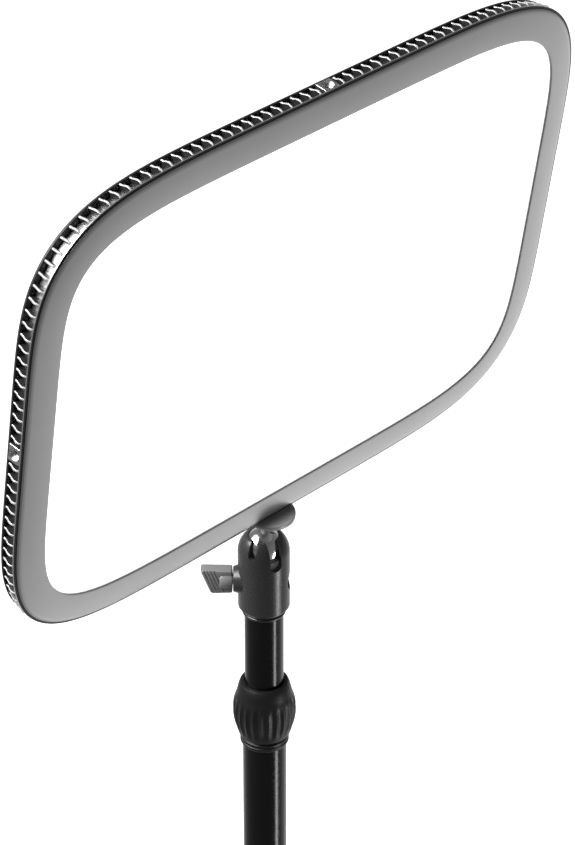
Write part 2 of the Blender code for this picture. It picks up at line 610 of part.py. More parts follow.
def head_body(head):
    """The barrel: a ball cavity, a drop slot, a boss for the lock screw and a recess across from it."""
    opening = (CAVITY_RADIUS ** 2 - HEAD_TOP ** 2) ** 0.5
    top = np.arcsin(opening / CAVITY_RADIUS)
    hollow = [(CAVITY_RADIUS * sin(a), CAVITY_RADIUS * cos(a)) for a in np.linspace(pi / 2, top, 5)]
    bore = THREAD_RADIUS + GAP
    foot = [(HEAD_RADIUS, HEAD_BOTTOM + FOOT_CHAMFER), (FOOT_RADIUS, HEAD_BOTTOM), (bore, HEAD_BOTTOM),
            (bore, FOOT_BORE_TOP), (0, FOOT_BORE_TOP)]
    inside = [(0, CAVITY_FLOOR), (CAVITY_RADIUS, CAVITY_FLOOR)] + hollow
    mesh = turned("head_body", inside + scaled(DOME) + foot, steps=28)
    item = placed("head_body", mesh, (DARK_GREY, 0.35, 0.5), head)
    over = HEAD_TOP + 2 * MM
    half = SLOT_HALF_WIDTH
    slot = [(-half, 0, over)]
    slot += [(half * cos(a), 0, SLOT_BOTTOM + half * sin(a)) for a in np.linspace(-pi, 0, 7)]
    slot.append((half, 0, over))
    cutter = extruded("drop_slot", slot, (0, -HEAD_RADIUS - 3 * MM, 0))
    cut(item, cutter, parent=head, rotation=(0, 0, SLOT_TURN))
    boss = [(0, BOSS_REACH), (BOSS_RIM, BOSS_REACH), (BOSS_FOOT, BOSS_ROOT), (0, BOSS_ROOT)]
    changes = (('UNION', turned("lock_boss", boss, 24)),
               ('DIFFERENCE', rod("lock_bore", SCREW_CHANNEL, 2 * MM, BOSS_REACH + 3 * MM)),
               ('DIFFERENCE', rod("recess", RECESS_RADIUS, -20 * MM, -RECESS_FLOOR)))
    for operation, tool in changes:
        cut(item, tool, operation, head, (0, 0, KNOB_LEVEL), (0, pi / 2, KNOB_AZIMUTH))
    cut(item, rod("wedge_bore", WEDGE_BORE, KNOB_LEVEL - 3.2 * MM, CAVITY_FLOOR + 2 * MM), parent=head)


def head_inside(head):
    cup = CAVITY_RADIUS
    base = CAVITY_FLOOR + GAP
    low = -cup * cos(radians(20))
    arc = [((cup ** 2 - z ** 2) ** 0.5, z) for z in np.linspace(SEAT_RIM, low, 4)]
    profile = [(cup - GAP, SEAT_RIM), (cup - GAP, base), (arc[-1][0], base)] + arc[::-1]
    placed("ball_seat", turned("ball_seat", profile, closed=True), (WHITE, 0.5, 0.0), head)
    placed("wedge_pin", turned("wedge_pin", scaled(WEDGE_PIN), 20), (BRIGHT_METAL, 0.3, 1.0), head)


def lock_knob(head):
    """The screw points along the knob's own Z, out of the head."""
    axis = pivot("knob_axis", head, (0, 0, KNOB_LEVEL), (0, pi / 2, KNOB_AZIMUTH))
    screw = [(0, SCREW_END), (2.6 * MM, SCREW_END), (THREAD_RADIUS, SCREW_END - 0.6 * MM),
             (THREAD_RADIUS, 6 * MM), (0, 4.2 * MM)]
    placed("lock_screw", turned("lock_screw", screw, 20), (BRIGHT_METAL, 0.3, 1.0), axis)
    bore = THREAD_RADIUS + GAP
    floor = SCREW_END + GAP
    hub = [(0, HUB_END), (HUB_RADIUS, HUB_END), (HUB_RADIUS, HUB_START), (bore, HUB_START), (bore, floor),
           (0, floor)]
    knob = placed("lock_knob", turned("lock_knob", hub, 20), (MID_GREY, 0.4, 0.3), axis)
    outline = [(x, -WING_THICKNESS / 2, z) for x, z in scaled(WING)]
    cut(knob, extruded("knob_wing", outline, (0, WING_THICKNESS, 0)), 'UNION', parent=axis)
    cut(knob, rod("knob_room", bore, 10 * MM, floor), parent=axis)


def head_lip(slide):
    top, bore = HEAD_BOTTOM - GAP, THREAD_RADIUS + GAP
    reach = 12.3 * MM
    profile = [(reach - 0.7 * MM, top), (reach, top - 0.6 * MM), (reach, LIP_BOTTOM + 0.5 * MM),
               (reach - 0.4 * MM, LIP_BOTTOM), (bore, LIP_BOTTOM), (bore, top)]
    item = turned("head_lip_ring", profile, closed=True)
    placed("head_lip_ring", item, (BRIGHT_METAL, 0.2, 1.0), slide)


# ---- pole ----

def upper_tube(slide):
    top = LIP_BOTTOM - GAP
    end = UPPER_TUBE_END - BALL_HEIGHT
    inner = UPPER_TUBE_RADIUS - TUBE_WALL
    mesh = tube("upper_tube", UPPER_TUBE_RADIUS, inner, end, top, 28)
    placed("upper_tube", mesh, (BLACK_PAINT, 0.15, 0.3), slide)
    bore = THREAD_RADIUS + GAP
    plug = tube("tube_top_plug", inner - GAP, bore, top - TOP_PLUG_LENGTH, top, 20)
    placed("tube_top_plug", plug, (BRIGHT_METAL, 0.4, 0.9), slide)
    stud = rod("base_stud", THREAD_RADIUS, top - 22 * MM, FOOT_BORE_TOP - MM, chamfer=END_CHAMFER)
    placed("base_stud", stud, (BRIGHT_METAL, 0.3, 1.0), slide)
    outer = LOWER_TUBE_RADIUS - TUBE_WALL - GAP
    inside, foot = end + 15 * MM, end - BUSH_LENGTH
    bush = [(0, inside), (inner - GAP, inside), (inner - GAP, end - GAP), (outer, end - GAP), (outer, foot),
            (0, foot)]
    placed("guide_bush", turned("guide_bush", bush, 24), (MID_GREY, 0.5, 0.0), slide)


def twist_collar(fixed):
    inner_top = UPPER_TUBE_RADIUS + 0.4 * MM
    cavity = LOWER_TUBE_RADIUS + 0.7 * MM
    sleeve = LOWER_TUBE_RADIUS + GAP
    inside = [(sleeve, COLLAR_BOTTOM), (sleeve, LOWER_TUBE_TOP), (cavity, LOWER_TUBE_TOP),
              (cavity, COLLET_TOP + MM), (inner_top, COLLET_TOP + MM), (inner_top, COLLAR_TOP)]
    axis = pivot("collar_axis", fixed)
    steps = 2 * COLLAR_RIBS
    mesh = turned("twist_collar", scaled(COLLAR_SIDE) + inside, steps, closed=True)
    for vert in mesh.vertices:
        radius = (vert.co.x ** 2 + vert.co.y ** 2) ** 0.5
        on_barrel = radius > BARREL_RADIUS and RIBS_BOTTOM < vert.co.z < RIBS_TOP
        step = round(np.arctan2(vert.co.y, vert.co.x) / tau * steps)
        if on_barrel and step % 2:
            vert.co.x *= (radius - RIB_DEPTH) / radius
            vert.co.y *= (radius - RIB_DEPTH) / radius
    placed("twist_collar", mesh, (BLACK_PAINT, 0.35, 0.1), axis)


def lower_tube(fixed):
    bottom = ARM_TOP + GAP - BALL_HEIGHT
    inner = LOWER_TUBE_RADIUS - TUBE_WALL
    mesh = tube("lower_tube", LOWER_TUBE_RADIUS, inner, bottom, LOWER_TUBE_TOP - GAP, 28)
    placed("lower_tube", mesh, (BLACK_PAINT, 0.12, 0.3), fixed)
    collet = tube("collet", LOWER_TUBE_RADIUS + 0.3 * MM, UPPER_TUBE_RADIUS + GAP, LOWER_TUBE_TOP, COLLET_TOP)
    placed("collet", collet, (WHITE, 0.5, 0.0), fixed)
    reach, bore = FERRULE_RADIUS, LOWER_TUBE_RADIUS + GAP
    ring = [(reach - 0.6 * MM, FERRULE_TOP), (reach, FERRULE_TOP - MM), (reach, FERRULE_BOTTOM + 1.2 * MM),
            (reach - 0.7 * MM, FERRULE_BOTTOM), (bore, FERRULE_BOTTOM), (bore, FERRULE_TOP)]
    placed("collar_ferrule", turned("collar_ferrule", ring, closed=True), (DARK_GREY, 0.35, 0.2), fixed)
    top = bottom + FOOT_PLUG_LENGTH
    reach, bore = inner - GAP, BOLT_RADIUS + GAP
    plug = [(0, top), (reach - MM, top), (reach, top - MM), (reach, bottom), (bore, bottom),
            (bore, top - FOOT_PLUG_WALL), (0, top - FOOT_PLUG_WALL)]
    placed("pole_foot_plug", turned("pole_foot_plug", plug, 20), (BRIGHT_METAL, 0.4, 0.9), fixed)


# ---- desk clamp ----

def clamp_bracket():
    """A C of plate: the desk goes in from the front, the pole stands on the upper arm."""
    round_y = SPINE_BACK - ARM_CORNER
    outline = [(ARM_FRONT, ARM_TOP), (ARM_FRONT, ARM_BOTTOM), (SPINE_FRONT, ARM_BOTTOM),
               (SPINE_FRONT, LOWER_ARM_TOP), (ARM_FRONT, LOWER_ARM_TOP), (ARM_FRONT, LOWER_ARM_BOTTOM),
               (round_y, LOWER_ARM_BOTTOM), (SPINE_BACK, LOWER_ARM_BOTTOM + ARM_CORNER),
               (SPINE_BACK, ARM_TOP - ARM_CORNER), (round_y, ARM_TOP)]
    points = [(-ARM_HALF_WIDTH, y, z) for y, z in outline]
    mesh = extruded("clamp_bracket", points, (2 * ARM_HALF_WIDTH, 0, 0))
    item = placed("clamp_bracket", mesh, (BLACK_PAINT, 0.4, 0.3))
    rounding = item.modifiers.new("edges", 'BEVEL')
    rounding.width = ARM_ROUNDING
    rounding.segments = 2
    over, under, seat = ARM_TOP + 2 * MM, ARM_BOTTOM - 2 * MM, BOLT_HEAD_TOP + GAP
    bore, head = BOLT_RADIUS + GAP, BOLT_HEAD_RADIUS + GAP
    bolt = [(0, over), (bore, over), (bore, seat), (head, seat), (head, under), (0, under)]
    cut(item, turned("bolt_hole", bolt, 24))
    thread = rod("screw_hole", SCREW_RADIUS + GAP, LOWER_ARM_BOTTOM - 2 * MM, LOWER_ARM_TOP + 2 * MM)
    cut(item, thread, location=(0, SCREW_Y, 0))


def pole_base():
    tube_room = LOWER_TUBE_RADIUS + GAP
    flange = ARM_TOP + GAP
    profile = [(SOCKET_RADIUS - MM, SOCKET_TOP), (SOCKET_RADIUS, SOCKET_TOP - MM),
               (SOCKET_RADIUS, flange + 6 * MM), (FLANGE_RADIUS, flange + 4 * MM), (FLANGE_RADIUS, flange),
               (tube_room, flange), (tube_room, SOCKET_TOP)]
    socket = placed("pole_socket", turned("pole_socket", profile, closed=True), (BLACK_PAINT, 0.35, 0.3))
    spot = (0, 0, SOCKET_TOP - SET_SCREW_DROP)
    hole = rod("set_screw_hole", SET_SCREW_RADIUS + GAP, 10 * MM, 20 * MM, 20)
    cut(socket, hole, location=spot, rotation=BACKWARD)
    screw = rod("set_screw", SET_SCREW_RADIUS, tube_room, SET_SCREW_END, 20, chamfer=END_CHAMFER)
    placed("set_screw", screw, (BRIGHT_METAL, 0.3, 1.0), None, spot, BACKWARD)
    bolt = [(0, BOLT_TOP), (BOLT_RADIUS - 0.4 * MM, BOLT_TOP), (BOLT_RADIUS, BOLT_TOP - MM),
            (BOLT_RADIUS, BOLT_HEAD_TOP), (BOLT_HEAD_RADIUS, BOLT_HEAD_TOP), (BOLT_HEAD_RADIUS, ARM_BOTTOM),
            (0, ARM_BOTTOM)]
    placed("pole_bolt", turned("pole_bolt", bolt, 24), (BRIGHT_METAL, 0.35, 1.0))
    pad = block("desk_pad", (-PAD_HALF_WIDTH, ARM_FRONT + 2 * MM, 0),
                (PAD_HALF_WIDTH, SPINE_FRONT - 3 * MM, PAD_THICKNESS))
    placed("desk_pad", pad, (RUBBER, 0.8, 0.0))


def clamp_screw():
    """The screw turns in the pressure plate and moves it up and down."""
    plate_axis = pivot("plate_axis", None, (0, SCREW_Y, 0))
    pad_bottom = PRESSURE_TOP - PAD_THICKNESS
    pad = rod("pressure_pad", PRESSURE_RADIUS, pad_bottom, PRESSURE_TOP, 24)
    placed("pressure_pad", pad, (RUBBER, 0.8, 0.0), plate_axis)
    top = pad_bottom - GAP
    room, under, seat = SCREW_RADIUS + GAP, top - PLATE_DEPTH, top - 2.4 * MM
    plate = [(0, top), (PRESSURE_RADIUS, top), (PRESSURE_RADIUS, top - 2 * MM), (PLATE_HUB, under),
             (room, under), (room, seat), (0, seat)]
    placed("pressure_plate", turned("pressure_plate", plate, 24), (DARK_GREY, 0.4, 0.5), plate_axis)
    screw_axis = pivot("screw_axis", plate_axis)
    screw = rod("clamp_screw", SCREW_RADIUS, SCREW_BOTTOM, seat - 0.4 * MM, chamfer=0.7 * MM)
    placed("clamp_screw", screw, (BRIGHT_METAL, 0.3, 1.0), screw_axis)
    bm = bmesh.new()
    loops = []
    for radius, level in CLAMP_KNOB:
        height = SCREW_BOTTOM + level * MM
        loop = []
        for i in range(KNOB_STEPS):
            angle = tau * i / KNOB_STEPS
            reach = (radius - LOBE_DEPTH * (1 + cos(KNOB_LOBES * angle)) / 2) * MM
            loop.append(bm.verts.new((reach * cos(angle), reach * sin(angle), height)))
        loops.append(loop)
    for first, second in zip(loops, loops[1:]):
        bridge(bm, first, second)
    bm.faces.new(loops[0])
    bm.faces.new(loops[-1])
    knob = placed("clamp_knob", finished(bm, "clamp_knob"), (BLACK_PAINT, 0.45, 0.1), screw_axis)
    cut(knob, rod("knob_bore", room, SCREW_BOTTOM - GAP, SCREW_BOTTOM + 8 * MM), parent=screw_axis)


def main():
    clear_scene()
    fixed = pivot("pole_axis", None, (0, 0, BALL_HEIGHT))
    slide = pivot("slide_axis", fixed)
    head = pivot("head_axis", slide)
    tilt = pivot("tilt_axis", head, rotation=(radians(PANEL_TILT), 0, 0))
    stem = pivot("stem_axis", tilt)
    panel = pivot("panel_place", stem, (0, -STEM_DEPTH, STEM_TO_CENTRE))

    front_bezel(panel)
    light_sheets(panel)
    led_strips(panel)
    light_frame(panel)
    vent_rim(panel)
    socket_blocks(panel)
    rear_shell(panel)
    rear_screws(panel)
    pod = control_pod(panel)
    pod_contents(pod)
    controls(pod)

    ball_stud(tilt)
    platform(tilt)
    head_body(head)
    head_inside(head)
    lock_knob(head)
    head_lip(slide)

    upper_tube(slide)
    twist_collar(fixed)
    lower_tube(fixed)
    clamp_bracket()
    pole_base()
    clamp_screw()


main()
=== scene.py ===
"""The looks of the LED panel light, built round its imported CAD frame."""

import json
from math import cos, pi, radians, sin, tau

import bmesh
import bpy
import numpy as np
from mathutils import Matrix, Vector


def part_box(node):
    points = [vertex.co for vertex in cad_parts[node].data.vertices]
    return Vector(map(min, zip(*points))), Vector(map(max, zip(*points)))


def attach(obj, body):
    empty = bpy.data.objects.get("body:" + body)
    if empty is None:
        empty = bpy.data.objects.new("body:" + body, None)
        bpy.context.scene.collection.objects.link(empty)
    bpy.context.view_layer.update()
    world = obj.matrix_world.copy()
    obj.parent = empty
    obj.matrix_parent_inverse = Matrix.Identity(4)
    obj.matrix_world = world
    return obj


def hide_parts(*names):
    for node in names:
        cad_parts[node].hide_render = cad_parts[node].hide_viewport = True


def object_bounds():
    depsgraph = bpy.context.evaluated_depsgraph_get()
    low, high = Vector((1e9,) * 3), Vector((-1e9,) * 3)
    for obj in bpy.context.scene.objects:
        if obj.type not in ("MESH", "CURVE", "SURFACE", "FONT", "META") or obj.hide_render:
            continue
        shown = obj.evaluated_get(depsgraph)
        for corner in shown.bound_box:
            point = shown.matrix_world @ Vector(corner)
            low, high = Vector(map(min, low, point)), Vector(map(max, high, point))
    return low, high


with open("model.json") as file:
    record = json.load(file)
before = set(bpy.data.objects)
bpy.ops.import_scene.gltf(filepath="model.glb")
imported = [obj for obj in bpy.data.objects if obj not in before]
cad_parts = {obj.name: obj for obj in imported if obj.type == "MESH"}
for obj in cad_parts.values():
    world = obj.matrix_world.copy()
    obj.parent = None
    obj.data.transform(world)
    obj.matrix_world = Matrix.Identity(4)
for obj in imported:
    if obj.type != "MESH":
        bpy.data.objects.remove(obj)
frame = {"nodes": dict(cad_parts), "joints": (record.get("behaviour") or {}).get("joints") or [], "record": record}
cad_low, cad_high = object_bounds()

MM = 0.001
JOINTS = {joint["name"]: joint for joint in frame["joints"]}
SLOTS = {part["node"]: part["material_slot"] for part in frame["record"]["subparts"]}
BODY_OF = {node: body for body, nodes in frame["record"]["behaviour"]["bodies"].items() for node in nodes}

# ---- places, read from the frame ----

BALL = Vector(JOINTS["ball_tilt"]["pos_m"])
ACROSS = Vector((1, 0, 0))
STEM_UP = Vector(JOINTS["panel_spin"]["axis"]).normalized()
BACKWARD = STEM_UP.cross(ACROSS)


def axes_at(place, across, backward, upward):
    """The matrix that takes a local point to the row frame."""
    turn = Matrix((across, backward, upward)).transposed().to_4x4()
    return Matrix.Translation(place) @ turn


def local_box(node, matrix):
    """Lowest and highest corner of a CAD node in a local frame."""
    inverse = matrix.inverted()
    points = np.array([inverse @ v.co for v in frame["nodes"][node].data.vertices])
    return Vector(points.min(0)), Vector(points.max(0))


STEM = axes_at(BALL, ACROSS, BACKWARD, STEM_UP)
sheet_low, sheet_high = local_box("diffuser_sheet", STEM)
PANEL_MIDDLE = STEM @ Vector((0, sheet_low.y, (sheet_low.z + sheet_high.z) / 2))
PANEL = axes_at(PANEL_MIDDLE, ACROSS, BACKWARD, STEM_UP)
POLE = Matrix.Translation(BALL)

# ---- the panel's outline: a superellipse, and all else runs parallel to it ----

SHEET_OVERLAP = 4 * MM
OUTLINE_EXPONENT = 6.2
HALF_WIDTH = (sheet_high.x - sheet_low.x) / 2 - SHEET_OVERLAP
HALF_HEIGHT = (sheet_high.z - sheet_low.z) / 2 - SHEET_OVERLAP
FIN_OUTER = local_box("vent_rim", PANEL)[1].x - HALF_WIDTH
LIP_OUTER = local_box("light_frame", PANEL)[1].x - HALF_WIDTH
SHELL_OUTER = local_box("rear_shell", PANEL)[1].x - HALF_WIDTH
BEZEL_WIDTH = local_box("front_bezel", PANEL)[1].x - HALF_WIDTH
VENT_FRONT, VENT_BACK = (corner.y for corner in local_box("vent_rim", PANEL))
SHELL_FRONT, SHELL_BACK = (corner.y for corner in local_box("rear_shell", PANEL))
RING_POINTS = 384


def outline_curve():
    """Base points, outward normals and running length of the light's outline, clockwise from the top."""
    power = 2 / OUTLINE_EXPONENT
    turn = np.linspace(0, tau, 16001)
    across = np.sign(np.sin(turn)) * np.abs(np.sin(turn)) ** power * HALF_WIDTH
    upward = np.sign(np.cos(turn)) * np.abs(np.cos(turn)) ** power * HALF_HEIGHT
    base = np.stack([across, upward], axis=1)
    slope = np.sign(base) * np.abs(base) ** (OUTLINE_EXPONENT - 1)
    slope /= np.array([HALF_WIDTH, HALF_HEIGHT]) ** OUTLINE_EXPONENT
    normal = slope / np.linalg.norm(slope, axis=1, keepdims=True)
    rim = base + normal * FIN_OUTER
    steps = np.linalg.norm(np.diff(rim, axis=0), axis=1)
    return base, normal, np.concatenate([[0], np.cumsum(steps)])


BASE, NORMAL, LENGTH = outline_curve()
RIM_LENGTH = LENGTH[-1]


def rim_axes(length):
    """Base point and outward direction at a length along the rim."""
    along = length % RIM_LENGTH
    base = np.array([np.interp(along, LENGTH, BASE[:, i]) for i in (0, 1)])
    normal = np.array([np.interp(along, LENGTH, NORMAL[:, i]) for i in (0, 1)])
    return base, normal / np.hypot(*normal)


RING = [rim_axes(RIM_LENGTH * i / RING_POINTS) for i in range(RING_POINTS)]


# ---- mesh helpers ----

def finished(bm, name, smooth_below=35):
    bmesh.ops.remove_doubles(bm, verts=bm.verts, dist=1e-6)
    bmesh.ops.recalc_face_normals(bm, faces=bm.faces)
    mesh = bpy.data.meshes.new(name)
    bm.to_mesh(mesh)
    bm.free()
    mesh.shade_smooth()
    mesh.set_sharp_from_angle(angle=radians(smooth_below))
    return mesh


def bridge(bm, first, second):
    count = len(first)
    for i in range(count):
        j = (i + 1) % count
        bm.faces.new((first[i], first[j], second[j], second[i]))


def ring_shape(name, profile, capped=False):
    """Sweep (offset, depth) points round the panel's outline; capped closes both ends into a sheet."""
    bm = bmesh.new()
    loops = []
    for offset, depth in profile:
        loop = []
        for base, normal in RING:
            spot = base + normal * offset
            loop.append(bm.verts.new((spot[0], depth, spot[1])))
        loops.append(loop)
    for first, second in zip(loops, loops[1:] + ([] if capped else loops[:1])):
        bridge(bm, first, second)
    if capped:
        bm.faces.new(loops[0])
        bm.faces.new(loops[-1])
    return finished(bm, name)


def turned(name, profile, steps=96, closed=False, smooth_below=35):
    """Spin (radius, height) points round Z."""
    bm = bmesh.new()
    verts = [bm.verts.new((radius, 0, height)) for radius, height in profile]
    ends = verts[1:] + (verts[:1] if closed else [])
    edges = [bm.edges.new(pair) for pair in zip(verts, ends)]
    bmesh.ops.spin(bm, geom=verts + edges, cent=(0, 0, 0), axis=(0, 0, 1), angle=tau,
                   steps=steps, use_merge=True)
    return finished(bm, name, smooth_below)


def arc(centre, radius, start, end, count):
    """Points of an arc in (radius, height), with angles in degrees from the +radius direction."""
    spots = [radians(start + (end - start) * i / (count - 1)) for i in range(count)]
    return [(centre[0] + radius * cos(a), centre[1] + radius * sin(a)) for a in spots]


def rounded_box(name, low, high, bevel, segments=4):
    bm = bmesh.new()
    size = Vector(high) - Vector(low)
    middle = (Vector(high) + Vector(low)) / 2
    bmesh.ops.create_cube(bm, size=1, matrix=Matrix.Translation(middle) @ Matrix.Diagonal((*size, 1)))
    bmesh.ops.bevel(bm, geom=bm.edges[:], offset=bevel, segments=segments, affect='EDGES', profile=0.5)
    return finished(bm, name)


def prism(name, outline, vector, bevel=0.0, segments=3):
    """A flat outline of 3-D points pushed along a vector, with round edges."""
    bm = bmesh.new()
    face = bm.faces.new([bm.verts.new(point) for point in outline])
    pushed = bmesh.ops.extrude_face_region(bm, geom=[face])["geom"]
    moved = [item for item in pushed if isinstance(item, bmesh.types.BMVert)]
    bmesh.ops.translate(bm, vec=vector, verts=moved)
    bmesh.ops.recalc_face_normals(bm, faces=bm.faces)
    if bevel:
        bmesh.ops.bevel(bm, geom=bm.edges[:], offset=bevel, segments=segments, affect='EDGES', profile=0.5)
    return finished(bm, name)


def combined(name, base, changes, matrix=None):
    """Boolean a mesh with others: changes are (operation, mesh, matrix)."""
    body = bpy.data.objects.new(name, base)
    bpy.context.scene.collection.objects.link(body)
    tools = []
    for operation, mesh, place in changes:
        tool = bpy.data.objects.new(mesh.name + "_tool", mesh)
        bpy.context.scene.collection.objects.link(tool)
        tool.matrix_world = place
        boolean = body.modifiers.new(operation, 'BOOLEAN')
        boolean.operation = operation
        boolean.object = tool
        boolean.solver = 'EXACT'
        tools.append(tool)
    bpy.context.view_layer.update()
    made = bpy.data.meshes.new_from_object(body.evaluated_get(bpy.context.evaluated_depsgraph_get()))
    for item in tools + [body]:
        bpy.data.objects.remove(item)
    made.name = name
    made.shade_smooth()
    made.set_sharp_from_angle(angle=radians(30))
    return made


def show(name, mesh, looks, node, matrix, others=()):
    """Put a piece in the place of a CAD node, riding on the node's body."""
    mesh.transform(matrix)
    item = bpy.data.objects.new(name, mesh)
    bpy.context.scene.collection.objects.link(item)
    for look in looks if isinstance(looks, (list, tuple)) else [looks]:
        mesh.materials.append(look)
    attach(item, BODY_OF[node])
    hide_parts(node, *others)
    return item


# ---- materials ----

class Nodes:
    """Short ways to add shader nodes to one material."""

    def __init__(self, name):
        self.material = bpy.data.materials.new(name)
        self.material.use_nodes = True
        self.tree = self.material.node_tree
        self.shader = self.tree.nodes["Principled BSDF"]
        self.place = self.add("ShaderNodeTexCoord").outputs["Object"]

    def add(self, kind, **settings):
        node = self.tree.nodes.new(kind)
        for key, value in settings.items():
            setattr(node, key, value)
        return node

    def link(self, source, target):
        self.tree.links.new(source, target)

    def noise(self, scale, detail=3.0, stretch=(1, 1, 1)):
        mapping = self.add("ShaderNodeMapping")
        mapping.inputs["Scale"].default_value = stretch
        self.link(self.place, mapping.inputs["Vector"])
        node = self.add("ShaderNodeTexNoise")
        node.inputs["Scale"].default_value = scale
        node.inputs["Detail"].default_value = detail
        self.link(mapping.outputs["Vector"], node.inputs["Vector"])
        return node.outputs["Fac"]

    def ramp(self, source, low, high, start=0.3, end=0.7):
        """Colours from low to high as a value goes from start to end."""
        node = self.add("ShaderNodeValToRGB")
        node.color_ramp.elements[0].position = start
        node.color_ramp.elements[1].position = end
        node.color_ramp.elements[0].color = (*low, 1)
        node.color_ramp.elements[1].color = (*high, 1)
        self.link(source, node.inputs["Fac"])
        return node.outputs["Color"]

    def span(self, source, low, high, start=0.3, end=0.7):
        node = self.add("ShaderNodeMapRange")
        node.inputs["From Min"].default_value = start
        node.inputs["From Max"].default_value = end
        node.inputs["To Min"].default_value = low
        node.inputs["To Max"].default_value = high
        self.link(source, node.inputs["Value"])
        return node.outputs["Result"]

    def bump(self, source, distance, strength=1.0):
        node = self.add("ShaderNodeBump")
        node.inputs["Distance"].default_value = distance
        node.inputs["Strength"].default_value = strength
        self.link(source, node.inputs["Height"])
        self.link(node.outputs["Normal"], self.shader.inputs["Normal"])

    def set(self, **values):
        for key, value in values.items():
            self.shader.inputs[key.replace("_", " ")].default_value = value


def grey(value):
    return (value, value, value * 1.01)


def coated(name, low, high, rough, metallic=0.0, grain=900.0, depth=0.02, specular=0.5, coat=0.0):
    """Paint, anodising or moulded plastic: fine grain, with tone and gloss that vary a little."""
    make = Nodes(name)
    broad = make.noise(14, 4)
    fine = make.noise(grain, 2)
    make.link(make.ramp(broad, low, high), make.shader.inputs["Base Color"])
    make.link(make.span(fine, rough - 0.05, rough + 0.06), make.shader.inputs["Roughness"])
    make.bump(fine, depth * MM, 0.6)
    make.shader.inputs["Metallic"].default_value = metallic
    make.shader.inputs["Specular IOR Level"].default_value = specular
    if coat:
        make.shader.inputs["Coat Weight"].default_value = coat
        make.shader.inputs["Coat Roughness"].default_value = 0.08
    return make.material


def brushed(name, low, high, rough, stretch=(1, 1, 30), grain=300.0):
    """Machined or brushed metal, with lines drawn out along one way."""
    make = Nodes(name)
    lines = make.noise(grain, 3, stretch)
    make.link(make.ramp(lines, low, high), make.shader.inputs["Base Color"])
    make.link(make.span(lines, rough - 0.06, rough + 0.1), make.shader.inputs["Roughness"])
    make.bump(lines, 0.01 * MM, 0.5)
    make.shader.inputs["Metallic"].default_value = 1.0
    return make.material


def lit_sheet():
    """The opal front, lit from behind, with a glow that varies a touch in soft clouds."""
    make = Nodes("lit_diffuser")
    cloud = make.noise(9, 2)
    make.link(make.ramp(cloud, grey(0.88), grey(0.93)), make.shader.inputs["Base Color"])
    make.link(make.span(cloud, 0.45, 0.55), make.shader.inputs["Roughness"])
    make.link(make.ramp(cloud, grey(0.97), (1.0, 1.0, 1.0)), make.shader.inputs["Emission Color"])
    make.shader.inputs["Emission Strength"].default_value = GLOW
    return make.material


GLOW = 3.2

LOOKS = {
    "satin_bezel": coated("satin_bezel", grey(0.60), grey(0.65), 0.34, 0.92, 1200, 0.008),
    "diffuser": lit_sheet(),
    "acrylic": coated("clear_acrylic", grey(0.85), grey(0.92), 0.12),
    "white_sheet": coated("white_plastic", grey(0.82), grey(0.9), 0.5),
    "bare_aluminium": brushed("bare_aluminium", grey(0.74), grey(0.84), 0.3),
    "black_vent": coated("vent_black", grey(0.012), grey(0.02), 0.35, 0.0, 800),
    "black_shell": coated("shell_black", grey(0.014), grey(0.022), 0.5, 0.0, 700, 0.05),
    "pod_plastic": coated("pod_plastic", grey(0.03), grey(0.04), 0.48, 0.0, 650, 0.06),
    "led_board": coated("led_board", grey(0.8), grey(0.88), 0.5),
    "threaded_metal": brushed("machined_steel", grey(0.6), grey(0.74), 0.28),
    "screw_steel": brushed("blackened_steel", grey(0.07), grey(0.12), 0.3),
    "board_green": coated("solder_mask", (0.02, 0.12, 0.05), (0.03, 0.17, 0.07), 0.4),
    "display_black": coated("display_glass", grey(0.004), grey(0.006), 0.08),
    "inlet_black": coated("inlet_black", grey(0.012), grey(0.02), 0.4),
    "encoder_metal": brushed("encoder_metal", grey(0.5), grey(0.6), 0.35),
    "dial_grey": coated("dial_grey", grey(0.035), grey(0.05), 0.4, 0.0, 900),
    "button_grey": coated("button_grey", grey(0.12), grey(0.15), 0.4),
    "rocker_black": coated("rocker_black", grey(0.012), grey(0.018), 0.22),
    "bright_chrome": brushed("bright_chrome", grey(0.72), grey(0.8), 0.12, (1, 1, 4), 120),
    "disc_grey": coated("disc_anodised", grey(0.3), grey(0.36), 0.4, 0.3),
    "head_grey": coated("head_anodised", grey(0.038), grey(0.05), 0.3, 0.2, 900, 0.006),
    "knob_grey": coated("knob_plastic", grey(0.19), grey(0.23), 0.36, 0.0, 700),
    "tube_black": coated("tube_lacquer", grey(0.004), grey(0.006), 0.2, 0.0, 500, 0.004, 0.25),
    "collar_black": coated("collar_rubbered", grey(0.008), grey(0.012), 0.42, 0.0, 800, 0.02, 0.3),
    "bush_plastic": coated("bush_plastic", grey(0.16), grey(0.2), 0.5),
    "clamp_black": coated("clamp_powder_coat", grey(0.012), grey(0.018), 0.42, 0.0, 500, 0.06),
    "plate_grey": coated("plate_paint", grey(0.05), grey(0.07), 0.4, 0.3),
    "clamp_knob_black": coated("knob_black", grey(0.012), grey(0.018), 0.4),
    "black_rubber": coated("black_rubber", grey(0.012), grey(0.02), 0.75, 0.0, 400, 0.08, 0.3),
}


# A darker grey of the same satin metal: painted shade for the bezel's outer chamfer and steep faces.
BEZEL_PAINTED_SHADE = coated("bezel_chamfer", grey(0.42), grey(0.46), 0.36, 0.92, 1200, 0.008)
# A lighter grey for the middle of the fins' rounded outer edges: a painted highlight, not wear.
FIN_PAINTED_HIGHLIGHT = coated("worn_fin_edge", grey(0.42), grey(0.5), 0.38, 0.25, 700, 0.01)


# ---- panel ----

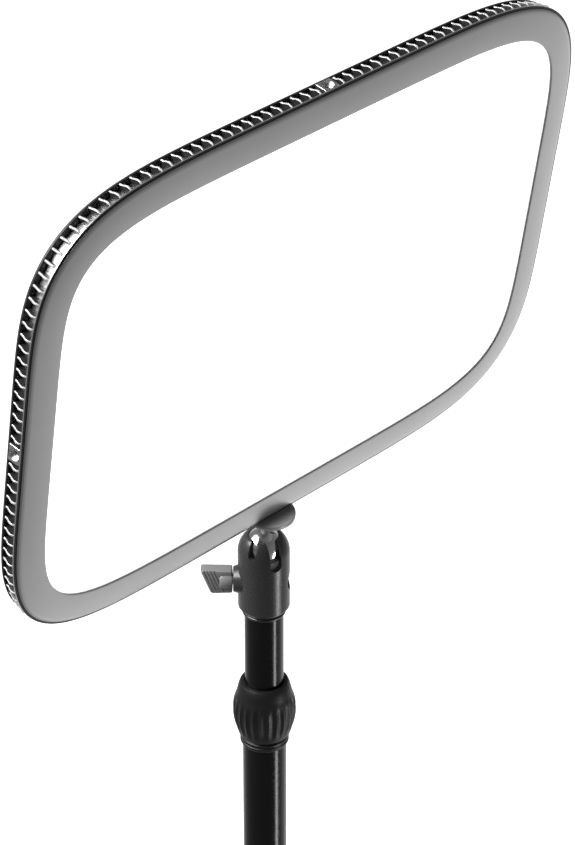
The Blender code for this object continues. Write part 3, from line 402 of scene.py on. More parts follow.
def front_bezel():
    """A ring whose face is highest near the diffuser, falls away outwards and ends in a chamfer; its chamfer and other
    steep faces take a darker grey as painted shade.
    """
    crest, rise, edge, chamfer = 1.1 * MM, 1.25 * MM, 1.05 * MM, 2.0 * MM
    shares = np.linspace(1, 0, 21)
    face = BEZEL_WIDTH - chamfer - crest
    outer = [(BEZEL_WIDTH, 0), (BEZEL_WIDTH, -0.1 * MM), (BEZEL_WIDTH - 0.15 * MM, -0.3 * MM), (BEZEL_WIDTH - 0.9 * MM, -0.68 * MM)]
    outer += [(crest + face * t, -edge - rise * (1 - 0.25 * t - 0.75 * t * t)) for t in shares]
    turn = np.radians(np.linspace(0, 90, 10)[1:])
    inner = [(crest - crest * sin(a), -1.0 * MM - (edge + rise - 1.0 * MM) * cos(a)) for a in turn]
    seat = SHEET_OVERLAP + 0.3 * MM
    back = [(0, -0.3 * MM), (seat, -0.3 * MM), (seat, 0)]
    mesh = ring_shape("bezel_ring", outer + inner + back)
    # The chamfer, the steep faces and the back take the darker grey: painted shade, not a different finish.
    for item in mesh.polygons:
        item.material_index = int(abs(item.normal.y) < cos(radians(19)) or item.center.y > -0.32 * MM)
    show("bezel_ring", mesh, (LOOKS["satin_bezel"], BEZEL_PAINTED_SHADE), "front_bezel", PANEL)


def diffuser():
    low, high = local_box("diffuser_sheet", PANEL)
    edge = 0.3 * MM
    profile = [(SHEET_OVERLAP - edge, low.y), (SHEET_OVERLAP, low.y + edge), (SHEET_OVERLAP, high.y - edge),
               (SHEET_OVERLAP - edge, high.y)]
    show("opal_diffuser", ring_shape("opal_diffuser", profile, capped=True), LOOKS["diffuser"],
         "diffuser_sheet", PANEL)


WALL_OFFSET = 14.2 * MM
WALL_BACK = VENT_BACK - 0.3 * MM


def light_frame():
    """The bright ring whose front flange and wall show between the fins."""
    low = local_box("light_frame", PANEL)[0].y
    inner = 9 * MM
    lip = LIP_OUTER
    profile = [(inner, low), (lip - 0.35 * MM, low), (lip - 0.1 * MM, low + 0.1 * MM), (lip, low + 0.35 * MM),
               (lip, low + 0.8 * MM), (lip - 0.3 * MM, low + 1.0 * MM), (WALL_OFFSET + 1.2 * MM, low + 1.0 * MM),
               (WALL_OFFSET + 0.3 * MM, low + 1.4 * MM), (WALL_OFFSET, low + 2.2 * MM), (WALL_OFFSET, WALL_BACK),
               (inner, WALL_BACK)]
    mesh = ring_shape("bright_frame", profile)
    for face in mesh.polygons:
        face.material_index = int(face.normal.y < -0.4)
    show("bright_frame", mesh, (LOOKS["bare_aluminium"], LOOKS["black_vent"]), "light_frame", PANEL)


FIN_PITCH = 6.9 * MM
FIN_THICKNESS = 1.4 * MM
SOCKET_GAP = 8.5 * MM


def fin_centres():
    quarter = RIM_LENGTH / 4
    room = quarter - 2 * SOCKET_GAP
    count = round(room / FIN_PITCH)
    return [side * quarter + SOCKET_GAP + room * i / count for side in range(4) for i in range(count + 1)]


FIN_EDGE = ((1.5, 1.1), (2.2, 0.55), (3.0, 0.15), (4.0, 0.0), (5.0, 0.15), (6.0, 0.55), (7.0, 1.0), (8.0, 1.35), (9.0, 1.5),
            (9.6, 1.6))


def vent_rim():
    """Black fins between the front flange and the rear cover, each with a bowed, rounded outer edge painted lighter
    along its middle as a highlight.
    """
    bm = bmesh.new()
    half = FIN_THICKNESS / 2
    root = WALL_OFFSET - 0.6 * MM
    edge = [(FIN_OUTER - drop * MM, depth * MM) for depth, drop in FIN_EDGE]
    outline = [(root, edge[-1][1]), (root, edge[0][1])] + edge
    turns = np.radians(np.linspace(0, 180, 9))
    for centre in fin_centres():
        base, normal = rim_axes(centre)
        along = np.array([normal[1], -normal[0]])
        layers = []
        for turn in turns:
            shift, shrink = -half * cos(turn), half * (1 - sin(turn))
            layer = []
            for offset, depth in outline:
                reach = offset - (shrink if offset > WALL_OFFSET else 0)
                spot = base + normal * reach + along * shift
                layer.append(bm.verts.new((spot[0], depth, spot[1])))
            layers.append(layer)
        for first, second in zip(layers, layers[1:]):
            bridge(bm, first, second)
        # Faces along the middle of each rounded edge take the lighter grey: a painted highlight, not wear.
        for index in range(1, 7):
            for i in range(2, len(outline) - 1):
                shared = set(layers[index][i].link_faces) & set(layers[index + 1][i + 1].link_faces)
                shared.pop().material_index = 1
        bm.faces.new(layers[0])
        bm.faces.new(layers[-1])
    show("vent_fins", finished(bm, "vent_fins", 50), (LOOKS["black_vent"], FIN_PAINTED_HIGHLIGHT), "vent_rim", PANEL)


def thread(name, radius, pitch, bottom, top, steps=32):
    """A cutter for a threaded hole: a cylinder whose wall runs in and out once each pitch."""
    turns = int((top - bottom) / pitch)
    profile = [(0, top + 0.5 * MM), (radius, top + 0.5 * MM), (radius, top)]
    for i in range(turns):
        level = top - i * pitch
        profile += [(radius - 0.35 * MM, level - 0.4 * pitch), (radius, level - pitch)]
    profile += [(0, top - turns * pitch)]
    return turned(name, profile, steps)


def socket_blocks():
    sides = (("top", 0, HALF_HEIGHT), ("right", pi / 2, HALF_WIDTH), ("bottom", pi, HALF_HEIGHT), ("left", -pi / 2, HALF_WIDTH))
    for side, turn, reach in sides:
        node = "socket_block_" + side
        place = PANEL @ Matrix.Rotation(turn, 4, 'Y')
        low, high = local_box(node, place)
        block = rounded_box("thread_block_" + side, low, high, 0.35 * MM, 3)
        middle = (low + high) / 2
        depth = 4.2 * MM
        hole = thread("block_thread_" + side, 3.3 * MM, 0.8 * MM, high.z - depth, high.z)
        mouth = turned("block_mouth_" + side, [(0, high.z + MM), (4.0 * MM, high.z + MM), (3.2 * MM, high.z - 0.5 * MM),
                                               (0, high.z - 0.5 * MM)], 32)
        spot = Matrix.Translation((0, middle.y, 0))
        mesh = combined("thread_block_" + side, block, [('DIFFERENCE', hole, spot), ('DIFFERENCE', mouth, spot)])
        show("thread_block_" + side, mesh, LOOKS["threaded_metal"], node, place)


def rear_shell():
    edge = SHELL_OUTER
    deep = SHELL_BACK - SHELL_FRONT
    profile = [(edge - 0.2 * MM, SHELL_FRONT), (edge, SHELL_FRONT + 0.2 * MM), (edge, SHELL_FRONT + 0.5 * MM)]
    profile += [(edge - 4 * MM * (1 - cos(a)), SHELL_FRONT + 0.5 * MM + (deep - 0.5 * MM) * sin(a))
                for a in np.radians(np.linspace(10, 90, 9))]
    profile += [(edge - 7 * MM, SHELL_BACK), (edge - 7.4 * MM, SHELL_BACK - 0.5 * MM), (edge - 8.4 * MM, SHELL_BACK - 0.5 * MM),
                (edge - 8.8 * MM, SHELL_BACK)]
    shell = ring_shape("rear_cover", profile, capped=True)
    slots = []
    for side in (-1, 1):
        for i in range(15):
            x = (i - 7) * 16 * MM
            z = side * 78 * MM
            slot = rounded_box("cooling_slot", (x - 2 * MM, SHELL_BACK - 1.2 * MM, z - 13 * MM),
                               (x + 2 * MM, SHELL_BACK + 2 * MM, z + 13 * MM), 0.9 * MM, 2)
            slots.append(('DIFFERENCE', slot, Matrix.Identity(4)))
    show("rear_cover", combined("rear_cover", shell, slots), LOOKS["black_shell"], "rear_shell", PANEL)


def screw_head(name, radius, height):
    """A round head with a hexagon socket."""
    profile = [(0, height), (radius * 0.72, height)] + arc((radius - 0.5 * MM, height - 0.5 * MM), 0.5 * MM, 90, 0, 5)
    profile += [(radius, 0.15 * MM), (radius - 0.15 * MM, 0), (0, 0)]
    key = [(radius * 0.45 * cos(tau * i / 6), radius * 0.45 * sin(tau * i / 6), height - 0.9 * MM) for i in range(6)]
    return combined(name, turned(name, profile, 40),
                    [('DIFFERENCE', prism(name + "_key", key, (0, 0, 2 * MM)), Matrix.Identity(4))])


def rear_screws():
    outward = Matrix.Rotation(-pi / 2, 4, 'X')
    for node in sorted(n for n in frame["nodes"] if n.startswith("rear_screw")):
        low, high = local_box(node, PANEL)
        middle = (low + high) / 2
        place = PANEL @ Matrix.Translation((middle.x, low.y, middle.z)) @ outward
        show(node + "_head", screw_head(node + "_head", 3 * MM, 1.7 * MM), LOOKS["screw_steel"], node, place)


# ---- control pod ----

def dial(node, joint):
    """A dial with a knurled skirt and a white pointer line."""
    place = local_frame(joint)
    low, high = local_box(node, place)
    radius, height = high.x, high.z
    knurls = 40
    bm = bmesh.new()
    steps = knurls * 4
    rows = ((0, 0.965), (0.4 * MM, 1.0), (height - 2.2 * MM, 1.0), (height - 1.6 * MM, 0.97), (height - 0.5 * MM, 0.93),
            (height - 0.1 * MM, 0.88), (height - 0.1 * MM, 0.80), (height - 0.6 * MM, 0.74))
    loops = []
    for level, share in rows:
        ribbed = 0.1 * MM < level < height - 2 * MM
        loop = []
        for i in range(steps):
            dip = 0.45 * MM * (0.5 + 0.5 * cos(tau * i / 4)) if ribbed else 0.3 * MM
            reach = radius * share - dip
            loop.append(bm.verts.new((reach * cos(tau * i / steps), reach * sin(tau * i / steps), level)))
        loops.append(loop)
    for first, second in zip(loops, loops[1:]):
        bridge(bm, first, second)
    bm.faces.new(loops[0])
    bm.faces.new(loops[-1])
    show(node + "_cap", finished(bm, node + "_cap"), LOOKS["dial_grey"], node, place)
    mark = rounded_box(node + "_pointer", (radius * 0.3, -0.5 * MM, height - 0.8 * MM),
                       (radius * 0.7, 0.5 * MM, height - 0.35 * MM), 0.15 * MM, 2)
    mark.transform(place)
    pointer = bpy.data.objects.new(node + "_pointer", mark)
    bpy.context.scene.collection.objects.link(pointer)
    mark.materials.append(MARKING)
    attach(pointer, BODY_OF[node])


def local_frame(joint):
    """A frame at a joint, with Z along its axis and X along the panel's width."""
    axis = Vector(JOINTS[joint]["axis"]).normalized()
    return axes_at(Vector(JOINTS[joint]["pos_m"]), ACROSS, axis.cross(ACROSS), axis)


MARKING = coated("white_marking", grey(0.75), grey(0.85), 0.5)


def control_pod():
    low, high = local_box("control_pod", PANEL)
    middle = (low + high) / 2
    shell = rounded_box("pod_cover", low, (high.x, high.y, high.z), 4 * MM, 6)
    cuts = []
    window_low, window_high = local_box("display_window", PANEL)
    gap = 0.3 * MM
    cuts.append(rounded_box("window_cut", (window_low.x - gap, high.y - 1.8 * MM, window_low.z - gap),
                            (window_high.x + gap, high.y + 3 * MM, window_high.z + gap), 1.2 * MM, 3))
    inset = rounded_box("panel_inset", (low.x + 6 * MM, high.y - 0.4 * MM, low.z + 6 * MM),
                        (high.x - 6 * MM, high.y + 6 * MM, high.z - 6 * MM), 0.3 * MM, 2)
    button_low, button_high = local_box("mode_button", PANEL)
    button = (button_low + button_high) / 2
    rocker_low, rocker_high = local_box("power_rocker", PANEL)
    cuts.append(rounded_box("rocker_cut", (rocker_low.x - 0.4 * MM, high.y - 3 * MM, rocker_low.z - 0.4 * MM),
                            (rocker_high.x + 0.4 * MM, high.y + 3 * MM, rocker_high.z + 0.4 * MM), 0.3 * MM, 2))
    inlet_low, inlet_high = local_box("dc_inlet", PANEL)
    inlet = (inlet_low + inlet_high) / 2
    outward = Matrix.Rotation(-pi / 2, 4, 'X')
    changes = [('DIFFERENCE', mesh, Matrix.Identity(4)) for mesh in cuts + [inset]]
    changes.append(('DIFFERENCE', turned("button_cut", [(0, 4 * MM), (5 * MM, 4 * MM), (5 * MM, -3 * MM), (0, -3 * MM)], 48),
                    Matrix.Translation((button.x, high.y, button.z)) @ outward))
    changes.append(('DIFFERENCE', turned("inlet_cut", [(0, 4 * MM), (4.2 * MM, 4 * MM), (4.2 * MM, -4 * MM), (0, -4 * MM)], 48),
                    Matrix.Translation((inlet.x, inlet.y, low.z))))
    ridges = []
    for i in range(7):
        for side in (-1, 1):
            x = side * (high.x - 0.2 * MM)
            z = middle.z + (i - 3) * 5 * MM
            ridges.append(rounded_box("side_slot", (x - 1.0 * MM, low.y + 5 * MM, z - 0.9 * MM),
                                      (x + 1.0 * MM, high.y - 6 * MM, z + 0.9 * MM), 0.4 * MM, 2))
    changes += [('DIFFERENCE', mesh, Matrix.Identity(4)) for mesh in ridges]
    show("pod_cover", combined("pod_cover", shell, changes), LOOKS["pod_plastic"], "control_pod", PANEL)


def pod_details():
    low, high = local_box("display_window", PANEL)
    window = rounded_box("display_pane", low, high, 0.5 * MM, 3)
    show("display_pane", window, LOOKS["display_black"], "display_window", PANEL)
    outward = Matrix.Rotation(-pi / 2, 4, 'X')
    low, high = local_box("mode_button", PANEL)
    middle = (low + high) / 2
    top = high.y - low.y
    profile = [(0, top - 0.5 * MM), (2.2 * MM, top - 0.35 * MM), (3.4 * MM, top)] + arc((3.8 * MM, top - 0.8 * MM), 0.8 * MM, 90, 0, 6)
    profile += [(4.6 * MM, 1.3 * MM), (6.3 * MM, 1.2 * MM), (6.3 * MM, 0), (0, 0)]
    show("mode_button_cap", turned("mode_button_cap", profile, 64), LOOKS["button_grey"], "mode_button",
         PANEL @ Matrix.Translation((middle.x, low.y, middle.z)) @ outward)
    low, high = local_box("power_rocker", PANEL)
    middle = (low + high) / 2
    wide, tall = (high.x - low.x) / 2, high.y - low.y
    curve = [(x * wide, high.y - tall * 0.16 * (1 - x * x)) for x in np.linspace(-1, 1, 13)]
    outline = [(middle.x + x, y, low.z) for x, y in curve] + [(high.x, high.y - 2.4 * MM, low.z), (middle.x + 4 * MM, low.y, low.z),
               (middle.x - 4 * MM, low.y, low.z), (low.x, high.y - 2.4 * MM, low.z)]
    show("rocker_cap", prism("rocker_cap", outline, (0, 0, high.z - low.z), 0.35 * MM, 2), LOOKS["rocker_black"],
         "power_rocker", PANEL)
    low, high = local_box("dc_inlet", PANEL)
    middle = (low + high) / 2
    deep = high.z - low.z
    profile = arc((3.6 * MM, 0.4 * MM), 0.4 * MM, -90, 0, 4) + [(4 * MM, deep), (2.75 * MM, deep), (2.75 * MM, 0.3 * MM), (2.95 * MM, 0)]
    show("inlet_ring", turned("inlet_ring", profile, 48, closed=True), LOOKS["inlet_black"], "dc_inlet",
         PANEL @ Matrix.Translation((middle.x, middle.y, low.z)))
    pin = turned("inlet_pin", [(0, deep)] + [(0.9 * MM, deep), (0.9 * MM, 2 * MM), (0.5 * MM, 1.3 * MM), (0, 1.2 * MM)], 24)
    pin.transform(PANEL @ Matrix.Translation((middle.x, middle.y, low.z)))
    item = bpy.data.objects.new("inlet_pin", pin)
    bpy.context.scene.collection.objects.link(item)
    pin.materials.append(LOOKS["threaded_metal"])
    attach(item, "panel")


# ---- ball head ----

BALL_RADIUS = 11 * MM
CAVITY_RADIUS = 11.3 * MM
NECK_RADIUS = 2.7 * MM


def ball_stud():
    top = local_box("ball_stud", STEM)[1].z
    start = 90 - np.degrees(np.arcsin(NECK_RADIUS / BALL_RADIUS))
    flare = [(3.9 * (1 - t) ** 2.2, 9.7 * t) for t in np.linspace(0, 1, 12)]
    profile = [(0, top)] + [(NECK_RADIUS + out * MM, top - down * MM) for out, down in flare]
    profile += arc((0, 0), BALL_RADIUS, start, -90, 40)[:-1] + [(0, -BALL_RADIUS)]
    mesh = turned("chrome_ball", profile, 96, smooth_below=60)
    for face in mesh.polygons:
        face.material_index = int(face.center.z > BALL_RADIUS - 0.4 * MM)
    show("chrome_ball", mesh, (LOOKS["bright_chrome"], LOOKS["disc_grey"]), "ball_stud", STEM)


def platform():
    low, high = local_box("platform_disc", STEM)
    reach, bottom, top = high.x, low.z, high.z
    profile = [(3.4 * MM, top), (reach - 0.9 * MM, top), (reach - 0.3 * MM, top - 0.2 * MM), (reach, top - 0.7 * MM),
               (reach, bottom + 1.3 * MM), (reach - 0.2 * MM, bottom + 1.0 * MM), (reach - 1.3 * MM, bottom + 0.1 * MM),
               (reach - 1.6 * MM, bottom), (reach - 4.2 * MM, bottom), (reach - 4.5 * MM, bottom + 0.4 * MM),
               (6.9 * MM, bottom + 0.4 * MM), (6.9 * MM, bottom), (3.4 * MM, bottom)]
    show("platform", turned("platform", profile, 96, closed=True), LOOKS["disc_grey"], "platform_disc", STEM)


def head_body():
    """A turned body with a ball cavity, a drop slot, a boss for the lock and a recess across from it."""
    low, high = local_box("head_body", POLE)
    reach, bottom, top = 14.5 * MM, low.z, high.z
    opening = (CAVITY_RADIUS ** 2 - top ** 2) ** 0.5
    start = np.degrees(np.arcsin(top / CAVITY_RADIUS))
    hollow = arc((0, 0), CAVITY_RADIUS, 0, start, 16)
    dome = [(opening + 0.2 * MM, top), (9.5 * MM, top), (9.9 * MM, top - 0.15 * MM)]
    dome += [(r * MM, z * MM) for r, z in ((10.4, 7.1), (11.3, 6.2), (12.1, 5.15), (12.8, 3.95), (13.4, 2.7), (13.85, 1.4),
                                           (14.2, 0.1), (14.42, -1.2), (14.5, -2.6))]
    foot = [(reach, bottom + 3.2 * MM), (reach - 0.25 * MM, bottom + 2.8 * MM), (12.1 * MM, bottom + 0.2 * MM),
            (11.8 * MM, bottom), (3.4 * MM, bottom), (3.4 * MM, bottom + 11.4 * MM), (0, bottom + 11.4 * MM)]
    profile = [(0, -14 * MM), (CAVITY_RADIUS, -14 * MM)] + hollow + dome + foot
    body = turned("head_barrel", profile, 128)
    slot = [(-SLOT_WIDTH, 0, 12 * MM)]
    slot += [(x, 0, z) for x, z in arc((0, SLOT_LEVEL), SLOT_WIDTH, -180, 0, 25)] + [(SLOT_WIDTH, 0, 12 * MM)]
    notch = [(-2.6 * MM, 0, 12 * MM), (-2.3 * MM, 0, 1 * MM), (-1.6 * MM, 0, -0.9 * MM), (0, 0, -1.6 * MM),
             (1.6 * MM, 0, -0.9 * MM), (2.3 * MM, 0, 1 * MM), (2.6 * MM, 0, 12 * MM)]
    boss = turned("lock_boss", [(0, 17 * MM), (6.9 * MM, 17 * MM), (7.3 * MM, 16.7 * MM), (8.7 * MM, 12 * MM),
                                (8.7 * MM, 11.6 * MM), (0, 11.6 * MM)], 64)
    bore = turned("lock_bore", [(0, 20 * MM), (3.4 * MM, 20 * MM), (3.4 * MM, 2 * MM), (0, 2 * MM)], 48)
    dish = turned("recess", [(0, -12.7 * MM), (5.3 * MM, -12.7 * MM), (5.7 * MM, -13.2 * MM), (5.8 * MM, -20 * MM), (0, -20 * MM)], 64)
    inward = (0, -20 * MM, 0)
    mesh = combined("head_barrel", body, [
        ('UNION', boss, KNOB),
        ('DIFFERENCE', prism("drop_slot", slot, inward), Matrix.Rotation(SLOT_TURN, 4, 'Z')),
        ('DIFFERENCE', prism("side_notch", notch, inward), Matrix.Rotation(NOTCH_TURN, 4, 'Z')),
        ('DIFFERENCE', bore, KNOB),
        ('DIFFERENCE', dish, KNOB)])
    show("head_barrel", mesh, LOOKS["head_grey"], "head_body", POLE)


SLOT_TURN = radians(-17)
NOTCH_TURN = radians(-74)
SLOT_WIDTH = 3.5 * MM
SLOT_LEVEL = -5.5 * MM
LOCK_AXIS = Vector(JOINTS["lock_turn"]["axis"]).normalized()
LOCK_LEVEL = Vector(JOINTS["lock_turn"]["pos_m"]).z - BALL.z
DOWN = Vector((0, 0, -1))
KNOB = axes_at(Vector((0, 0, LOCK_LEVEL)), DOWN, LOCK_AXIS.cross(DOWN), LOCK_AXIS)


def lock_knob():
    """A wing knob: a round hub, and a tapered wing with ridges across its slanted end."""
    hub = turned("wing_knob", [(0, 24.5 * MM), (5.2 * MM, 24.5 * MM), (5.7 * MM, 23.6 * MM), (5.7 * MM, 18 * MM), (5.3 * MM, 17.3 * MM),
                               (3.4 * MM, 17.3 * MM), (3.4 * MM, 22.3 * MM), (0, 22.3 * MM)], 64)
    high, thick = 7.6 * MM, 7.6 * MM
    outline = [(-high + 0.3 * MM, -thick / 2, 17.4 * MM), (-high, -thick / 2, 34.2 * MM), (-6.9 * MM, -thick / 2, 35 * MM),
               (6.6 * MM, -thick / 2, 29.8 * MM), (high, -thick / 2, 28.6 * MM), (high - 0.3 * MM, -thick / 2, 17.4 * MM)]
    wing = prism("wing", outline, (0, thick, 0), 0.9 * MM, 3)
    ridges = []
    slant = Vector((13.5 * MM, 0, -5.2 * MM)).normalized()
    for i in range(4):
        inset = 2.2 * MM + i * 1.9 * MM
        for side in (-1, 1):
            groove = rounded_box("ridge_groove", (-9 * MM, -0.45 * MM, -0.45 * MM), (9 * MM, 0.45 * MM, 0.45 * MM), 0.2 * MM, 2)
            spin = Matrix.Rotation(np.arctan2(5.2, 13.5), 4, 'Y')
            spot = Matrix.Translation((0, side * thick / 2, 32.4 * MM - inset)) @ spin
            ridges.append(('DIFFERENCE', groove, spot))
    bore = turned("knob_bore", [(0, 22.3 * MM), (3.4 * MM, 22.3 * MM), (3.4 * MM, 10 * MM), (0, 10 * MM)], 48)
    still = Matrix.Identity(4)
    mesh = combined("wing_knob", hub, [('UNION', wing, still)] + ridges + [('DIFFERENCE', bore, still)])
    show("wing_knob", mesh, LOOKS["knob_grey"], "lock_knob", POLE @ KNOB)


def head_lip():
    low, high = local_box("head_lip_ring", POLE)
    reach = high.x
    middle = (low.z + high.z) / 2
    half = (high.z - low.z) / 2
    profile = [(3.4 * MM, high.z)] + arc((reach - half, middle), half, 90, -90, 12) + [(3.4 * MM, low.z)]
    show("lip_ring", turned("lip_ring", profile, 96, closed=True), LOOKS["screw_steel"], "head_lip_ring", POLE)


# ---- pole ----

def tube(node, name, look, rim=0.3 * MM):
    low, high = local_box(node, POLE)
    outer, wall = high.x, 1 * MM
    profile = [(outer - rim, high.z), (outer, high.z - rim), (outer, low.z + rim), (outer - rim, low.z), (outer - wall, low.z),
               (outer - wall, high.z)]
    show(name, turned(name, profile, 128, closed=True), look, node, POLE)


COLLAR_RIBS = 24


def twist_collar():
    """A barrel with ribs between two smooth bands."""
    low, high = local_box("twist_collar", POLE)
    top, bottom = high.z, low.z
    reach = high.x
    bell = [(13.3 * MM, top), (13.9 * MM, top - 0.8 * MM), (14.8 * MM, top - 3.4 * MM), (15.5 * MM, top - 6.6 * MM),
            (15.8 * MM, top - 8.2 * MM), (16.3 * MM, top - 9.4 * MM), (17.0 * MM, top - 11.4 * MM), (17.6 * MM, top - 14 * MM),
            (17.95 * MM, top - 17 * MM), (reach, top - 19.5 * MM), (17.9 * MM, top - 22 * MM), (17.5 * MM, top - 25 * MM),
            (16.9 * MM, top - 28 * MM), (16.2 * MM, top - 30.4 * MM), (15.6 * MM, top - 32.4 * MM),
            (15.2 * MM, bottom + 1.4 * MM), (14.8 * MM, bottom)]
    cavity = [(12.8 * MM, bottom), (12.8 * MM, top - 18 * MM), (13.2 * MM, top - 18 * MM), (13.2 * MM, top - 6 * MM),
              (11.4 * MM, top - 6 * MM), (11.4 * MM, top)]
    steps = COLLAR_RIBS * 8
    bm = bmesh.new()
    loops = []
    for index, (radius, level) in enumerate(bell + cavity):
        loop = []
        start, end = top - 10 * MM, top - 32 * MM
        share = max(0.0, min(1.0, (start - level) / (3 * MM), (level - end) / (4 * MM))) if index < len(bell) else 0.0
        for i in range(steps):
            wave = 0.5 + 0.5 * cos(tau * i / 8)
            inner = radius - share * 0.9 * MM * wave ** 0.6
            angle = tau * i / steps
            loop.append(bm.verts.new((inner * cos(angle), inner * sin(angle), level)))
        loops.append(loop)
    for first, second in zip(loops, loops[1:] + loops[:1]):
        bridge(bm, first, second)
    show("ribbed_collar", finished(bm, "ribbed_collar"), LOOKS["collar_black"], "twist_collar", POLE)


def ferrule():
    low, high = local_box("collar_ferrule", POLE)
    reach = high.x
    profile = [(12.8 * MM, high.z), (reach - 0.8 * MM, high.z), (reach, high.z - 0.8 * MM), (reach, high.z - 2.2 * MM),
               (reach - 0.4 * MM, high.z - 2.5 * MM), (reach - 0.4 * MM, high.z - 2.9 * MM), (reach, high.z - 3.2 * MM),
               (reach, low.z + 1.0 * MM), (reach - 0.5 * MM, low.z), (12.8 * MM, low.z)]
    show("ferrule_ring", turned("ferrule_ring", profile, 96, closed=True), LOOKS["collar_black"], "collar_ferrule", POLE)


# ---- desk clamp ----

def clamp():
    low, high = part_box("clamp_bracket")
    spine_front = 24 * MM
    thick = 12 * MM
    corner = 7 * MM
    points = [(low.y, high.z), (low.y, high.z - thick), (spine_front - 2 * MM, high.z - thick), (spine_front, high.z - thick - 2 * MM),
              (spine_front, low.z + thick + 2 * MM), (spine_front - 2 * MM, low.z + thick), (low.y, low.z + thick), (low.y, low.z)]
    points += [(high.y - corner + corner * sin(a), low.z + corner - corner * cos(a)) for a in np.radians(np.linspace(0, 90, 9))]
    points += [(high.y - corner + corner * cos(a), high.z - corner + corner * sin(a)) for a in np.radians(np.linspace(0, 90, 9))]
    outline = [(low.x, y, z) for y, z in points]
    body = prism("clamp_frame", outline, (high.x - low.x, 0, 0), 1.5 * MM, 3)
    screw_y = Vector(JOINTS["screw_turn"]["pos_m"]).y
    hole = thread("clamp_thread", 5.3 * MM, 1.5 * MM, low.z - 2 * MM, low.z + thick + 1 * MM, 48)
    bolt = turned("bolt_room", [(0, high.z + 2 * MM), (4.3 * MM, high.z + 2 * MM), (4.3 * MM, high.z - 6 * MM), (7 * MM, high.z - 6 * MM),
                                (7 * MM, high.z - 16 * MM), (0, high.z - 16 * MM)], 48)
    groove = rounded_box("spine_groove", (-14 * MM, high.y - 1.0 * MM, low.z + 16 * MM), (14 * MM, high.y + 2 * MM, high.z - 16 * MM),
                         0.8 * MM, 3)
    still = Matrix.Identity(4)
    mesh = combined("clamp_frame", body, [('DIFFERENCE', bolt, still), ('DIFFERENCE', hole, Matrix.Translation((0, screw_y, 0))),
                                          ('DIFFERENCE', groove, still)])
    show("clamp_frame", mesh, LOOKS["clamp_black"], "clamp_bracket", still)


def ribbed_pad():
    low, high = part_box("desk_pad")
    pad = rounded_box("desk_cushion", low, high, 0.7 * MM, 3)
    lines = []
    for i in range(9):
        y = low.y + (high.y - low.y) * (i + 1) / 10
        lines.append(('DIFFERENCE', rounded_box("pad_line", (low.x - MM, y - 0.7 * MM, low.z - MM),
                                                (high.x + MM, y + 0.7 * MM, low.z + 0.5 * MM), 0.2 * MM, 1), Matrix.Identity(4)))
    show("desk_cushion", combined("desk_cushion", pad, lines), LOOKS["black_rubber"], "desk_pad", Matrix.Identity(4))


def pole_base():
    low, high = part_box("pole_socket")
    top, bottom = high.z, low.z
    reach = high.x
    profile = [(12.8 * MM, top), (16 * MM, top), (16.7 * MM, top - 0.3 * MM), (17 * MM, top - 1.0 * MM), (17 * MM, bottom + 7 * MM),
               (17.3 * MM, bottom + 5.8 * MM), (18.2 * MM, bottom + 4.9 * MM), (reach - 0.8 * MM, bottom + 4 * MM),
               (reach, bottom + 3.2 * MM), (reach, bottom + 0.5 * MM), (reach - 0.5 * MM, bottom), (12.8 * MM, bottom)]
    body = turned("socket_cup", profile, 96, closed=True)
    screw_low, screw_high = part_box("set_screw")
    level = (screw_low.z + screw_high.z) / 2
    back = Matrix.Translation((0, 0, level)) @ Matrix.Rotation(-pi / 2, 4, 'X')
    hole = turned("set_hole", [(0, 20 * MM), (2.8 * MM, 20 * MM), (2.8 * MM, 10 * MM), (0, 10 * MM)], 32)
    show("socket_cup", combined("socket_cup", body, [('DIFFERENCE', hole, back)]), LOOKS["clamp_black"], "pole_socket",
         Matrix.Identity(4))
    end = screw_high.y
    screw = turned("grub_screw", [(0, end), (2.1 * MM, end), (2.5 * MM, end - 0.4 * MM), (2.5 * MM, screw_low.y + 0.3 * MM),
                                  (2.2 * MM, screw_low.y), (0, screw_low.y)], 40)
    key = [(1.3 * MM * cos(tau * i / 6), 1.3 * MM * sin(tau * i / 6), end - 1.6 * MM) for i in range(6)]
    mesh = combined("grub_screw", screw, [('DIFFERENCE', prism("grub_key", key, (0, 0, 3 * MM)), Matrix.Identity(4))])
    show("grub_screw", mesh, LOOKS["threaded_metal"], "set_screw", back)


